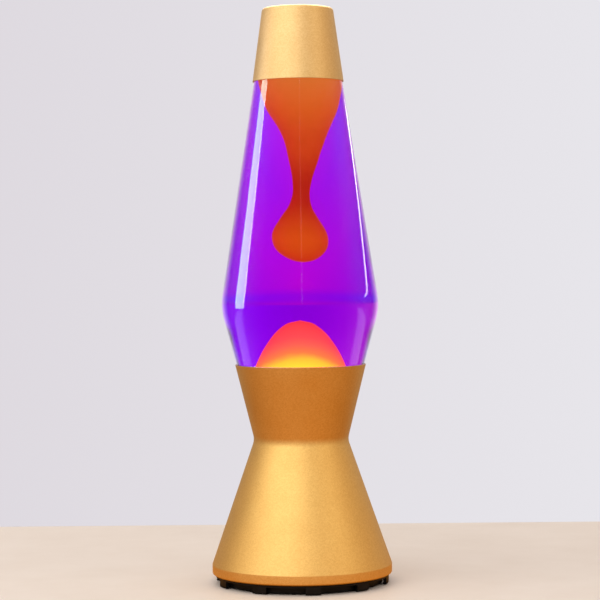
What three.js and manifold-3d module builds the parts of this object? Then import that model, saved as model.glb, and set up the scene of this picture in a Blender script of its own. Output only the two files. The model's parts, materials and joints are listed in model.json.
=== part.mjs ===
// A lava lamp: a spun metal base shaped like an hourglass, a glass bottle of tinted liquid and wax that
// stands in its flared mouth, and a loose metal cap over the bottle's neck. A reflector bulb in the base
// lights and warms the wax. Millimetres, +Z up, origin on the table under the lamp's axis, front towards -Y.
import * as THREE from "three";
import { mergeVertices } from "three/addons/utils/BufferGeometryUtils.js";
import Module from "manifold-3d";

const wasm = await Module();
wasm.setup();

// ---- Driving dimensions ----
const LAMP_HEIGHT = 430;
const TOUCH_GAP = 0.3; // pieces that rest on each other keep this much air

// The base: one spun aluminium shell with a flare above the waist and a skirt below it.
const SHELL_WALL = 0.9;
const BAND_RADIUS = 67.4;
const BAND_BOTTOM = 7.3;
const BAND_TOP = 14.5;
const BAND_EDGE_FILLET = 1.5;
const WAIST_RADIUS = 35.1;
const WAIST_HEIGHT = 107.5;
const WAIST_FILLET = 12;
const RIM_RADIUS = 49;
const RIM_HEIGHT = 163.7;
const LIP_RADIUS = 60.8; // inner edge of the shell's in-turned bottom lip

// The moulded foot plate under it.
const FOOT_RADIUS = 65;
const FOOT_WALL = 2.6;
const FOOT_BOTTOM = 0.5;
const FOOT_TOP = BAND_BOTTOM - TOUCH_GAP;
const DECK_RADIUS = 60.2;
const DECK_BOTTOM = 6;
const DECK_TOP = BAND_BOTTOM + SHELL_WALL;
const ABOVE_DECK = DECK_TOP + TOUCH_GAP;
const POST_COUNT = 10; // posts round the edge, with an air slot between each two
const POST_ANGLE = 10;
const POST_TURN = 7; // the first post stands this far round from the front
const SLOT_TOP = 5.6;
const SKIRT_RADIUS = 60.4; // an inner wall behind the slots, which stops short of the table
const SKIRT_WALL = 1.4;
const SKIRT_BOTTOM = 0.8;
const DECK_VENT_CIRCLE = 36;
const DECK_VENT_ANGLES = [195, 225, 255, 285, 315, 345];
const DECK_VENT_SPREAD = 9; // each way from its angle
const DECK_VENT_HALF_WIDTH = 2.2;
const BOSS_WALL = 0.6; // plastic round each pad
const PAD_RADIUS = 5;
const PAD_HEIGHT = 2.2;
const PAD_CIRCLE = 53;
const PAD_ANGLES = [45, 135, 225, 315];
const SCREW_CIRCLE = 55;
const SCREW_BOSS_RADIUS = 4.2;
const PLATE_SCREW_ANGLES = [30, 150, 270]; // the first one also holds the earth tag
const CORD_WAY_WIDTH = 8;
const CORD_WAY_DEPTH = 12;
const GROMMET_Y = 42;
const GROMMET_HOLE = 4.8;
const GROMMET_BORE = 3.3;
const GROMMET_LIP = 1.4;

// Fasteners and sheet metal.
const M3_SHAFT = 1.4;
const M3_HOLE = 1.8;
const M3_HEAD = 2.9;
const M3_NUT = 3.1;
const HEAD_HEIGHT = 1.5;
const NUT_HEIGHT = 2.2;
const STRIP = 1.5; // steel strip of the bracket and the tabs
const STRIP_HALF_WIDTH = 5.5;
const TAB_WIDTH = 12;
const TAB_INNER = 50;
const TAB_OUTER = 63.2;

// The bulb, a reflector lamp with two stud pins, and its holder.
const HOLDER_BOTTOM = 24.3;
const HOLDER_TOP = 42;
const HOLDER_RADIUS = 14;
const HOLDER_LID = 3; // ceramic above the pins' chamber
const CHAMBER_FLOOR = 33;
const HOLDER_SCREW_Y = 10.2;
const HEAD_RECESS = 2.4;
const CONTACT_THICKNESS = 0.7;
const PIN_CIRCLE = 5;
const PIN_TURN = 40; // degrees from the locked place to where the pins drop out
const PIN_NECK = 1.3;
const PIN_HEAD = 2.25;
const PIN_PLAY = 0.4;
const BULB_BASE_BOTTOM = HOLDER_TOP + TOUCH_GAP;
const BULB_BASE_RADIUS = 12.6;
const REFLECTOR_BOTTOM = 55.3;
const REFLECTOR_TOP = 94;
const REFLECTOR_RADIUS = 25.2;
const REFLECTOR_STEM = 10.4;
const REFLECTOR_WALL = 1.2;
const REFLECTOR_BAND = 4; // upright stretch at the rim
const CAPSULE_RADIUS = 4.4;
const CAPSULE_TOP = 81;
const BRACKET_TOP = HOLDER_BOTTOM - TOUCH_GAP;
const BRACKET_HALF_SPAN = 14.5;
const BRACKET_FOOT_Y = 20;
const BRACKET_FOOT_END = 26;

// The terminal block and the leads inside the base.
const BLOCK_X = -27;
const BLOCK_Y = 12;
const BLOCK_LENGTH = 17;
const BLOCK_HEIGHT = 11.7;
const WAY_PITCH = 8;
const WAYS = [-1, 0, 1];
const WAY_Z = DECK_TOP + 6.5;
const BARREL_RADIUS = 2.4;
const BARREL_BORE = 1.5;
const BARREL_HALF_LENGTH = 7;
const GRUB_X = 4.6;
const GRUB_RADIUS = 1.15;
const LEAD_RADIUS = 1.1;
const LEAD_X = 7.2; // where the live and neutral leads enter the holder

// The bottle: two glass cones, a rounded shoulder between them, and a crown-capped neck.
const GLASS_WALL = 2.5;
const BOTTLE_BOTTOM = 123;
const BOTTLE_BOTTOM_RADIUS = 36.6;
const KICK_RADIUS = 24; // the raised middle of the bottle's underside
const KICK_HEIGHT = 1.8;
const BOTTLE_FLOOR = 128.2; // inside
const SHOULDER_RADIUS = 59.6; // before rounding
const SHOULDER_HEIGHT = 206.8;
const SHOULDER_FILLET = 45;
const UPPER_TAPER = 0.1577; // radius lost for each millimetre of height
const LOWER_TAPER = (SHOULDER_RADIUS - BOTTLE_BOTTOM_RADIUS) / (SHOULDER_HEIGHT - BOTTLE_BOTTOM);
const TURN_IN_HEIGHT = 394; // where the upper cone turns in towards the neck
const NECK_RADIUS = 12.6;
const NECK_BORE = 9;
const NECK_BASE = 402.5;
const NECK_BEAD = 0.7;
const MOUTH_HEIGHT = 415;
const LIQUID_TOP = 388;
const MOUND_TOP = 200.4;
const MOUND_FOOT = BOTTLE_FLOOR + TOUCH_GAP;
const COIL_CIRCLE = 26;
const COIL_RADIUS = 2.6;
const COIL_WIRE = 0.5;
const COIL_TURNS = 20;

// The crown cap on the bottle's mouth, and the lamp's own cap over the neck.
const CROWN_FLUTES = 21;
const CROWN_SHEET = 0.4;
const CROWN_HEIGHT = 6.2;
const CROWN_FLUTE_DEPTH = 0.045; // as a share of the radius
const LINER_RADIUS = 11.5;
const LINER_THICKNESS = 0.7;
const CAP_BOTTOM = 375.2;
const CAP_BOTTOM_RADIUS = 34.1;
const CAP_TOP_RADIUS = 26.5;
const CAP_WALL = 0.7;
const CAP_FILLET = 2.6;

// How finely round things are cut.
const SIDES = 32;
const MEDIUM_SIDES = 24;
const WAX_SIDES = 20;
const SMALL_SIDES = 10;
const ARC_STEP = THREE.MathUtils.degToRad(22);

// ---- Materials ----
const paint = (color, roughness, metalness, more = {}) =>
  new THREE.MeshStandardMaterial({ color, roughness, metalness, ...more });
const materials = {
  gold: paint(0xd9a441, 0.38, 1),
  blackPlastic: paint(0x0d0d0e, 0.55, 0),
  blackRubber: paint(0x161616, 0.85, 0),
  glass: paint(0xf4f6ff, 0.03, 0, { transparent: true, opacity: 0.3 }),
  liquid: paint(0x8a12e6, 0.1, 0, { transparent: true, opacity: 0.6 }),
  wax: paint(0xd8480f, 0.4, 0),
  steel: paint(0xb8bbbf, 0.35, 1),
  zinc: paint(0xc9c6b4, 0.4, 1),
  brass: paint(0xc9a24a, 0.3, 1),
  ceramic: paint(0xf1ede2, 0.6, 0),
  mirror: paint(0xe6e8ec, 0.12, 1),
  lens: paint(0xfff4dd, 0.1, 0, { transparent: true, opacity: 0.5 }),
  nylon: paint(0xe9e9e4, 0.5, 0),
  sleeveBrown: paint(0x5a3218, 0.6, 0),
  sleeveBlue: paint(0x1c4f9c, 0.6, 0),
  sleeveGreen: paint(0x4f9a2f, 0.6, 0),
  liner: paint(0xd9dde0, 0.6, 0),
};

// ---- Shape helpers ----
const rad = THREE.MathUtils.degToRad;
const onCircle = (radius, degrees) => [radius * Math.cos(rad(degrees)), radius * Math.sin(rad(degrees))];

// Corners [x, y, fillet radius] become a line of points, each fillet an arc cut into even steps.
function rounded(corners) {
  const points = [];
  corners.forEach(([x, y, fillet = 0], i) => {
    const here = new THREE.Vector2(x, y);
    if (!fillet) {
      points.push(here);
      return;
    }
    const before = new THREE.Vector2(...corners[i - 1].slice(0, 2)).sub(here).normalize();
    const after = new THREE.Vector2(...corners[i + 1].slice(0, 2)).sub(here).normalize();
    const half = Math.acos(THREE.MathUtils.clamp(before.dot(after), -1, 1)) / 2;
    const middle = before.clone().add(after).normalize();
    const centre = middle.multiplyScalar(fillet / Math.sin(half)).add(here);
    const reach = fillet / Math.tan(half);
    const from = before.multiplyScalar(reach).add(here).sub(centre);
    const to = after.multiplyScalar(reach).add(here).sub(centre);
    const turn = Math.atan2(from.cross(to), from.dot(to));
    const steps = Math.max(1, Math.ceil(Math.abs(turn) / ARC_STEP));
    for (let s = 0; s <= steps; s++) {
      points.push(from.clone().rotateAround(new THREE.Vector2(), (turn * s) / steps).add(centre));
    }
  });
  return points;
}

// Corners moved to the left of their direction by a wall's thickness; fillets keep their centres.
function offset(corners, wall) {
  const normal = (a, b) => new THREE.Vector2(a[1] - b[1], b[0] - a[0]).normalize();
  return corners.map((corner, i) => {
    const inwards = i > 0 ? normal(corners[i - 1], corner) : null;
    const onwards = i < corners.length - 1 ? normal(corner, corners[i + 1]) : null;
    const mean = (inwards ?? onwards).clone().add(onwards ?? inwards).normalize();
    const mitre = wall / mean.dot(onwards ?? inwards);
    const turnsLeft = inwards && onwards && inwards.cross(onwards) > 0;
    const fillet = corner[2] ? Math.max(0.2, corner[2] + (turnsLeft ? -wall : wall)) : 0;
    return [corner[0] + mean.x * mitre, corner[1] + mean.y * mitre, fillet];
  });
}

// A profile of [radius, height, fillet] corners, anticlockwise from axis to axis, turned round Z.
function turned(corners, sides = SIDES) {
  return new THREE.LatheGeometry(rounded(corners), sides).rotateX(Math.PI / 2);
}

// The same for a closed profile that stays off the axis, or touches it along one edge.
function turnedRing(points, sides = SIDES) {
  return new THREE.LatheGeometry([...points, points[0].clone()], sides).rotateX(Math.PI / 2);
}

// A wall of even thickness inside an outline, turned round Z.
function turnedWall(outer, inner, sides = SIDES) {
  return turnedRing([...rounded(outer), ...rounded(inner).reverse()], sides);
}

function extruded(shape, bottom, top, curveSegments = 3) {
  const options = { depth: top - bottom, bevelEnabled: false, curveSegments };
  return new THREE.ExtrudeGeometry(shape, options).translate(0, 0, bottom);
}

function cylinder(radius, bottom, top, x = 0, y = 0, sides = SMALL_SIDES) {
  return turned([[0, bottom], [radius, bottom], [radius, top], [0, top]], sides).translate(x, y, 0);
}

function block(size, centre) {
  return new THREE.BoxGeometry(...size).translate(...centre);
}

// A slot with round ends, bent along a circle round the origin, from one angle to another (degrees).
function arcSlot(circle, halfWidth, fromAngle, toAngle) {
  const [a, b] = [rad(fromAngle), rad(toAngle)];
  const shape = new THREE.Shape();
  shape.absarc(0, 0, circle + halfWidth, a, b, false);
  shape.absarc(...onCircle(circle, toAngle), halfWidth, b, b + Math.PI, false);
  shape.absarc(0, 0, circle - halfWidth, b, a, true);
  shape.absarc(...onCircle(circle, fromAngle), halfWidth, a + Math.PI, a + 2 * Math.PI, false);
  return shape;
}

function solid(geometry) {
  const bare = new THREE.BufferGeometry().setAttribute("position", geometry.getAttribute("position"));
  if (geometry.index) bare.setIndex(geometry.index);
  const merged = mergeVertices(bare, 1e-3);
  return new wasm.Manifold(
    new wasm.Mesh({
      numProp: 3,
      vertProperties: merged.attributes.position.array,
      triVerts: new Uint32Array(merged.index.array),
    }),
  );
}

// One geometry with others joined on and others cut away.
function built(base, { add = [], cut = [] }) {
  let made = solid(base);
  add.forEach((geometry) => (made = made.add(solid(geometry))));
  cut.forEach((geometry) => (made = made.subtract(solid(geometry))));
  const mesh = made.getMesh();
  return new THREE.BufferGeometry()
    .setAttribute("position", new THREE.BufferAttribute(mesh.vertProperties, 3))
    .setIndex(new THREE.BufferAttribute(mesh.triVerts, 1));
}

const lamp = new THREE.Group();
function piece(name, geometry, material) {
  const mesh = new THREE.Mesh(geometry, material);
  mesh.name = name;
  lamp.add(mesh);
  return mesh;
}

// ---- Fasteners ----
// A pan-head screw with its head below height 0 and its shaft above it.
function screw(headRadius, shaftRadius, shaftLength) {
  const point = 0.6;
  return turned(
    [
      [0, -HEAD_HEIGHT],
      [headRadius * 0.6, -HEAD_HEIGHT],
      [headRadius, -HEAD_HEIGHT * 0.4],
      [headRadius, 0],
      [shaftRadius, 0],
      [shaftRadius, shaftLength - point],
      [0, shaftLength],
    ],
    SMALL_SIDES,
  );
}

// A hexagon nut that stands on height 0.
function nut() {
  const body = new THREE.CylinderGeometry(M3_NUT, M3_NUT, NUT_HEIGHT, 6).rotateX(Math.PI / 2);
  body.translate(0, 0, NUT_HEIGHT / 2);
  return built(body, { cut: [cylinder(M3_HOLE, -1, NUT_HEIGHT + 1)] });
}

// ---- Base shell ----
function baseShell() {
  const outer = [
    [LIP_RADIUS, BAND_BOTTOM],
    [BAND_RADIUS, BAND_BOTTOM, BAND_EDGE_FILLET],
    [BAND_RADIUS, BAND_TOP, BAND_EDGE_FILLET],
    [WAIST_RADIUS, WAIST_HEIGHT, WAIST_FILLET],
    [RIM_RADIUS, RIM_HEIGHT],
  ];
  return turnedWall(outer, offset(outer, SHELL_WALL));
}
piece("base_shell", baseShell(), materials.gold);

// ---- Foot plate: a deck with a slotted edge, bosses for pads and screws, and a cord way at the back ----
const PAD_BOSS_BOTTOM = PAD_HEIGHT + TOUCH_GAP;
const SCREW_BOSS_BOTTOM = PAD_BOSS_BOTTOM + 0.4;
const THROUGH = [FOOT_BOTTOM - 1, DECK_TOP + 1];

function sideSlot(index) {
  const pitch = 360 / POST_COUNT;
  const middle = -90 + POST_TURN + pitch * (index + 0.5);
  const half = (pitch - POST_ANGLE) / 2;
  const innerRadius = (SKIRT_RADIUS + FOOT_RADIUS - FOOT_WALL) / 2;
  const shape = new THREE.Shape();
  shape.absarc(0, 0, FOOT_RADIUS + 2, rad(middle - half), rad(middle + half), false);
  shape.absarc(0, 0, innerRadius, rad(middle + half), rad(middle - half), true);
  return extruded(shape, FOOT_BOTTOM - 1, SLOT_TOP);
}

function footPlate() {
  const plate = turned([
    [0, DECK_BOTTOM],
    [SKIRT_RADIUS - SKIRT_WALL, DECK_BOTTOM],
    [SKIRT_RADIUS - SKIRT_WALL, SKIRT_BOTTOM],
    [SKIRT_RADIUS, SKIRT_BOTTOM],
    [SKIRT_RADIUS, SLOT_TOP],
    [FOOT_RADIUS - FOOT_WALL, SLOT_TOP],
    [FOOT_RADIUS - FOOT_WALL, FOOT_BOTTOM],
    [FOOT_RADIUS, FOOT_BOTTOM],
    [FOOT_RADIUS, FOOT_TOP],
    [DECK_RADIUS, FOOT_TOP],
    [DECK_RADIUS, DECK_TOP],
    [0, DECK_TOP],
  ]);
  const bossTop = DECK_BOTTOM + 1;
  const padBosses = PAD_ANGLES.map((angle) =>
    cylinder(PAD_RADIUS + BOSS_WALL, PAD_BOSS_BOTTOM, bossTop, ...onCircle(PAD_CIRCLE, angle)),
  );
  const screwBosses = PLATE_SCREW_ANGLES.map((angle) =>
    cylinder(SCREW_BOSS_RADIUS, SCREW_BOSS_BOTTOM, bossTop, ...onCircle(SCREW_CIRCLE, angle)),
  );
  const screwHoles = [
    ...PLATE_SCREW_ANGLES.map((angle) => onCircle(SCREW_CIRCLE, angle)),
    [0, BRACKET_FOOT_Y],
    [0, -BRACKET_FOOT_Y],
    [BLOCK_X, BLOCK_Y],
  ].map((place) => cylinder(M3_HOLE, ...THROUGH, ...place));
  const deckVents = DECK_VENT_ANGLES.map((angle) => {
    const ends = [angle - DECK_VENT_SPREAD, angle + DECK_VENT_SPREAD];
    return extruded(arcSlot(DECK_VENT_CIRCLE, DECK_VENT_HALF_WIDTH, ...ends), ...THROUGH, 2);
  });
  const slots = [...Array(POST_COUNT).keys()].map(sideSlot);
  const cordWay = block(
    [CORD_WAY_WIDTH, CORD_WAY_DEPTH, SLOT_TOP],
    [0, FOOT_RADIUS + 3 - CORD_WAY_DEPTH / 2, SLOT_TOP / 2],
  );
  const grommetHole = cylinder(GROMMET_HOLE, ...THROUGH, 0, GROMMET_Y, MEDIUM_SIDES);
  return built(plate, {
    add: [...padBosses, ...screwBosses],
    cut: [...screwHoles, ...deckVents, ...slots, cordWay, grommetHole],
  });
}
piece("foot_plate", footPlate(), materials.blackPlastic);

PAD_ANGLES.forEach((angle, i) => {
  const pad = cylinder(PAD_RADIUS, 0, PAD_HEIGHT, ...onCircle(PAD_CIRCLE, angle));
  piece(`foot_pad_${i + 1}`, pad, materials.blackRubber);
});

// The rubber grommet that the supply cord comes in through, gripping the deck in a groove.
function grommet() {
  const groove = GROMMET_HOLE - TOUCH_GAP;
  const flange = GROMMET_HOLE + GROMMET_LIP;
  return turnedRing(
    rounded([
      [GROMMET_BORE, DECK_BOTTOM - TOUCH_GAP - GROMMET_LIP],
      [flange, DECK_BOTTOM - TOUCH_GAP - GROMMET_LIP],
      [flange, DECK_BOTTOM - TOUCH_GAP],
      [groove, DECK_BOTTOM - TOUCH_GAP],
      [groove, ABOVE_DECK],
      [flange, ABOVE_DECK],
      [flange, ABOVE_DECK + GROMMET_LIP],
      [GROMMET_BORE, ABOVE_DECK + GROMMET_LIP],
    ]),
    MEDIUM_SIDES,
  );
}
piece("cord_grommet", grommet(), materials.blackRubber).position.set(0, GROMMET_Y, 0);

// ---- Fixings between shell and foot plate: at each screw a tab reaches over the shell's lip ----
const TAB_BOTTOM = ABOVE_DECK;
const TAB_TOP = TAB_BOTTOM + STRIP;
const TAG_BOTTOM = TAB_TOP + TOUCH_GAP;
const TAG_TOP = TAG_BOTTOM + 0.8;
const PLATE_SCREW_LENGTH = TAB_TOP - SCREW_BOSS_BOTTOM + 2;
const EARTH_SCREW_LENGTH = PLATE_SCREW_LENGTH + NUT_HEIGHT + 1.5;

function retainingTab() {
  const length = TAB_OUTER - TAB_INNER;
  const plate = block([length, TAB_WIDTH, STRIP], [TAB_INNER + length / 2, 0, TAB_BOTTOM + STRIP / 2]);
  return built(plate, { cut: [cylinder(M3_HOLE, TAB_BOTTOM - 1, TAB_TOP + 1, SCREW_CIRCLE)] });
}

PLATE_SCREW_ANGLES.forEach((angle, i) => {
  piece(`retaining_tab_${i + 1}`, retainingTab(), materials.zinc).rotation.z = rad(angle);
  const fixing = screw(M3_HEAD, M3_SHAFT, i === 0 ? EARTH_SCREW_LENGTH : PLATE_SCREW_LENGTH);
  const made = piece(`plate_screw_${i + 1}`, fixing, materials.zinc);
  made.position.set(...onCircle(SCREW_CIRCLE, angle), SCREW_BOSS_BOTTOM - TOUCH_GAP);
});

// A ring tag on the first plate screw, held by a nut, earths the shell.
const TAG_TONGUE = 10;
const TAG_TONGUE_WIDTH = 2.6;
function earthTag() {
  const ring = cylinder(M3_NUT + 0.3, TAG_BOTTOM, TAG_TOP, 0, 0, SMALL_SIDES);
  const middle = [-TAG_TONGUE / 2, 0, (TAG_BOTTOM + TAG_TOP) / 2];
  const tongue = block([TAG_TONGUE, TAG_TONGUE_WIDTH, TAG_TOP - TAG_BOTTOM], middle);
  return built(ring, { add: [tongue], cut: [cylinder(M3_HOLE, TAG_BOTTOM - 1, TAG_TOP + 1)] });
}
const earthFixing = new THREE.Group();
earthFixing.position.set(...onCircle(SCREW_CIRCLE, PLATE_SCREW_ANGLES[0]), 0);
earthFixing.rotation.z = rad(PLATE_SCREW_ANGLES[0]);
lamp.add(earthFixing);
earthFixing.add(piece("earth_tag", earthTag(), materials.zinc));
const earthNut = piece("earth_nut", nut(), materials.zinc);
earthNut.position.z = TAG_TOP + TOUCH_GAP;
earthFixing.add(earthNut);

// ---- Lampholder bracket: a steel strip bent into a hat, one foot at the front and one at the back ----
function bracket() {
  const hat = [
    [-BRACKET_FOOT_END, ABOVE_DECK],
    [-BRACKET_HALF_SPAN, ABOVE_DECK, 1],
    [-BRACKET_HALF_SPAN, BRACKET_TOP - STRIP, 1],
    [BRACKET_HALF_SPAN, BRACKET_TOP - STRIP, 1],
    [BRACKET_HALF_SPAN, ABOVE_DECK, 1],
    [BRACKET_FOOT_END, ABOVE_DECK],
  ];
  const outline = new THREE.Shape([...rounded(hat), ...rounded(offset(hat, STRIP)).reverse()]);
  // The shape lies in X and Y: turning it puts its length along Y and its height along Z.
  const strip = extruded(outline, -STRIP_HALF_WIDTH, STRIP_HALF_WIDTH);
  strip.rotateX(Math.PI / 2).rotateZ(Math.PI / 2);
  const holes = [-1, 1].flatMap((side) => [
    cylinder(M3_HOLE, ABOVE_DECK - 1, ABOVE_DECK + STRIP + 1, 0, side * BRACKET_FOOT_Y),
    cylinder(M3_HOLE, BRACKET_TOP - STRIP - 1, BRACKET_TOP + 1, 0, side * HOLDER_SCREW_Y),
  ]);
  return built(strip, { cut: holes });
}
piece("lampholder_bracket", bracket(), materials.steel);

[-1, 1].forEach((side, i) => {
  const nutBottom = ABOVE_DECK + STRIP + TOUCH_GAP;
  const headTop = DECK_BOTTOM - TOUCH_GAP;
  const fixing = screw(M3_HEAD, M3_SHAFT, nutBottom + NUT_HEIGHT + 1.5 - headTop);
  piece(`bracket_screw_${i + 1}`, fixing, materials.zinc).position.set(0, side * BRACKET_FOOT_Y, headTop);
  piece(`bracket_nut_${i + 1}`, nut(), materials.zinc).position.set(0, side * BRACKET_FOOT_Y, nutBottom);
});

// ---- Lampholder: a ceramic drum with two bent keyholes over a chamber for each pin ----
const KEYWAY_HEAD = PIN_HEAD + 0.45;
const KEYWAY_NECK = PIN_NECK + 0.4;
const LEAD_HOLE = LEAD_RADIUS + 0.5;

function lampholder() {
  const drum = turned(
    [
      [0, HOLDER_BOTTOM],
      [HOLDER_RADIUS, HOLDER_BOTTOM],
      [HOLDER_RADIUS, HOLDER_TOP - 1.2],
      [HOLDER_RADIUS - 1.2, HOLDER_TOP],
      [0, HOLDER_TOP],
    ],
    MEDIUM_SIDES,
  );
  const lidBottom = HOLDER_TOP - HOLDER_LID;
  const throughLid = [lidBottom - 1, HOLDER_TOP + 1];
  const keyways = [0, 180].flatMap((start) => [
    extruded(arcSlot(PIN_CIRCLE, KEYWAY_HEAD, start, start + PIN_TURN), CHAMBER_FLOOR, lidBottom, 4),
    extruded(arcSlot(PIN_CIRCLE, KEYWAY_NECK, start, start + PIN_TURN), ...throughLid, 4),
    cylinder(KEYWAY_HEAD, ...throughLid, ...onCircle(PIN_CIRCLE, start + PIN_TURN)),
    cylinder(LEAD_HOLE, HOLDER_BOTTOM - 1, CHAMBER_FLOOR + 1, ...onCircle(LEAD_X, start)),
  ]);
  const screwWays = [-HOLDER_SCREW_Y, HOLDER_SCREW_Y].flatMap((y) => [
    cylinder(M3_HOLE, HOLDER_BOTTOM - 1, HOLDER_TOP + 1, 0, y),
    cylinder(M3_HEAD + 0.1, HOLDER_TOP - HEAD_RECESS, HOLDER_TOP + 1, 0, y),
  ]);
  return built(drum, { cut: [...keyways, ...screwWays] });
}
piece("lampholder", lampholder(), materials.ceramic);

[0, 180].forEach((start, i) => {
  const outline = arcSlot(PIN_CIRCLE, KEYWAY_HEAD - 0.5, start + 1, start + PIN_TURN - 1);
  const bottom = CHAMBER_FLOOR + TOUCH_GAP;
  const strip = extruded(outline, bottom, bottom + CONTACT_THICKNESS, 4);
  piece(`lampholder_contact_${i + 1}`, strip, materials.brass);
});

[-1, 1].forEach((side, i) => {
  const headBottom = HOLDER_TOP - HEAD_RECESS + TOUCH_GAP;
  const fixing = screw(M3_HEAD - 0.4, M3_SHAFT, headBottom - BRACKET_TOP + 4).rotateX(Math.PI);
  const made = piece(`lampholder_screw_${i + 1}`, fixing, materials.zinc);
  made.position.set(0, side * HOLDER_SCREW_Y, headBottom);
});

// ---- Bulb ----
const bulb = new THREE.Group();
lamp.add(bulb);
const bulbPiece = (name, geometry, material) => bulb.add(piece(name, geometry, material));

function bulbBase() {
  const top = REFLECTOR_BOTTOM - TOUCH_GAP;
  return turned(
    [
      [0, BULB_BASE_BOTTOM],
      [BULB_BASE_RADIUS - 1.4, BULB_BASE_BOTTOM, 1],
      [BULB_BASE_RADIUS, BULB_BASE_BOTTOM + 6],
      [BULB_BASE_RADIUS, top - 2, 1],
      [BULB_BASE_RADIUS - 1.8, top],
      [0, top],
    ],
    MEDIUM_SIDES,
  );
}
bulbPiece("bulb_base", bulbBase(), materials.ceramic);

function bulbPin() {
  const tip = CHAMBER_FLOOR + TOUCH_GAP + CONTACT_THICKNESS + TOUCH_GAP;
  const shoulder = HOLDER_TOP - HOLDER_LID - PIN_PLAY;
  return turned(
    [
      [0, tip],
      [PIN_HEAD - 0.5, tip],
      [PIN_HEAD, tip + 0.6],
      [PIN_HEAD, shoulder],
      [PIN_NECK, shoulder],
      [PIN_NECK, BULB_BASE_BOTTOM - TOUCH_GAP],
      [0, BULB_BASE_BOTTOM - TOUCH_GAP],
    ],
    SMALL_SIDES,
  );
}
[0, 180].forEach((start, i) => {
  const pin = bulbPin().translate(...onCircle(PIN_CIRCLE, start), 0);
  bulbPiece(`bulb_pin_${i + 1}`, pin, materials.brass);
});

// The bowl is a parabola from the stem to the rim.
function reflector() {
  const steps = 5;
  const rimBottom = REFLECTOR_TOP - REFLECTOR_BAND;
  const bowl = (inset, floor) =>
    [...Array(steps + 1).keys()].map((i) => {
      const share = i / steps;
      const radius = REFLECTOR_STEM + (REFLECTOR_RADIUS - REFLECTOR_STEM) * Math.sqrt(share) - inset;
      return [radius, floor + (rimBottom - floor) * share];
    });
  return turned(
    [
      [0, REFLECTOR_BOTTOM],
      ...bowl(0, REFLECTOR_BOTTOM),
      [REFLECTOR_RADIUS, REFLECTOR_TOP],
      [REFLECTOR_RADIUS - REFLECTOR_WALL, REFLECTOR_TOP],
      ...bowl(REFLECTOR_WALL, REFLECTOR_BOTTOM + REFLECTOR_WALL).reverse(),
      [0, REFLECTOR_BOTTOM + REFLECTOR_WALL],
    ],
    MEDIUM_SIDES,
  );
}
bulbPiece("bulb_reflector", reflector(), materials.mirror);

function capsule() {
  const bottom = REFLECTOR_BOTTOM + REFLECTOR_WALL + TOUCH_GAP;
  const outline = [
    [0, bottom],
    [CAPSULE_RADIUS, bottom],
    [CAPSULE_RADIUS, CAPSULE_TOP - 5, 3],
    [0, CAPSULE_TOP],
  ];
  return turned(outline, SMALL_SIDES);
}
bulbPiece("bulb_capsule", capsule(), materials.glass);

function lens() {
  const radius = REFLECTOR_RADIUS - REFLECTOR_WALL - TOUCH_GAP;
  const top = REFLECTOR_TOP - 0.2;
  return turned([[0, top - 3.2], [radius, top - 2.4], [radius, top - 0.6], [0, top]], MEDIUM_SIDES);
}
bulbPiece("bulb_lens", lens(), materials.lens);

// ---- Terminal block and the leads inside the base ----
const wayY = (way) => BLOCK_Y + way * WAY_PITCH;
const BLOCK_SCREW_TOP = WAY_Z - BARREL_RADIUS - TOUCH_GAP - 0.6;

function terminalBlock() {
  const top = ABOVE_DECK + BLOCK_HEIGHT;
  const middle = [BLOCK_X, BLOCK_Y, ABOVE_DECK + BLOCK_HEIGHT / 2];
  const body = block([BLOCK_LENGTH, WAYS.length * WAY_PITCH, BLOCK_HEIGHT], middle);
  const barrels = WAYS.map((way) =>
    cylinder(BARREL_RADIUS + TOUCH_GAP, -BLOCK_LENGTH, BLOCK_LENGTH)
      .rotateY(Math.PI / 2)
      .translate(BLOCK_X, wayY(way), WAY_Z),
  );
  const wells = WAYS.flatMap((way) =>
    [-GRUB_X, GRUB_X].map((x) => cylinder(GRUB_RADIUS + 0.75, WAY_Z, top + 1, BLOCK_X + x, wayY(way))),
  );
  const screwWay = cylinder(M3_HOLE, ABOVE_DECK - 1, BLOCK_SCREW_TOP + TOUCH_GAP, BLOCK_X, BLOCK_Y);
  return built(body, { cut: [...barrels, ...wells, screwWay] });
}
piece("terminal_block", terminalBlock(), materials.nylon);

const blockScrewHead = DECK_BOTTOM - TOUCH_GAP;
const blockScrew = screw(M3_HEAD, M3_SHAFT, BLOCK_SCREW_TOP - blockScrewHead);
piece("terminal_block_screw", blockScrew, materials.zinc).position.set(BLOCK_X, BLOCK_Y, blockScrewHead);

function terminalBarrel() {
  const outline = [
    [BARREL_BORE, -BARREL_HALF_LENGTH],
    [BARREL_RADIUS, -BARREL_HALF_LENGTH],
    [BARREL_RADIUS, BARREL_HALF_LENGTH],
    [BARREL_BORE, BARREL_HALF_LENGTH],
  ];
  const tube = turnedRing(rounded(outline), SMALL_SIDES).rotateY(Math.PI / 2);
  const tapped = [-GRUB_X, GRUB_X].map((x) => cylinder(GRUB_RADIUS + TOUCH_GAP, 0, 2 * BARREL_RADIUS, x, 0));
  return built(tube, { cut: tapped });
}

WAYS.forEach((way, i) => {
  const barrel = piece(`terminal_barrel_${i + 1}`, terminalBarrel(), materials.brass);
  barrel.position.set(BLOCK_X, wayY(way), WAY_Z);
  [-GRUB_X, GRUB_X].forEach((x, end) => {
    const grub = cylinder(GRUB_RADIUS, BARREL_BORE - TOUCH_GAP, 2 * BARREL_RADIUS - 0.2);
    const made = piece(`terminal_screw_${2 * i + end + 1}`, grub, materials.zinc);
    made.position.set(BLOCK_X + x, wayY(way), WAY_Z);
  });
});

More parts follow.
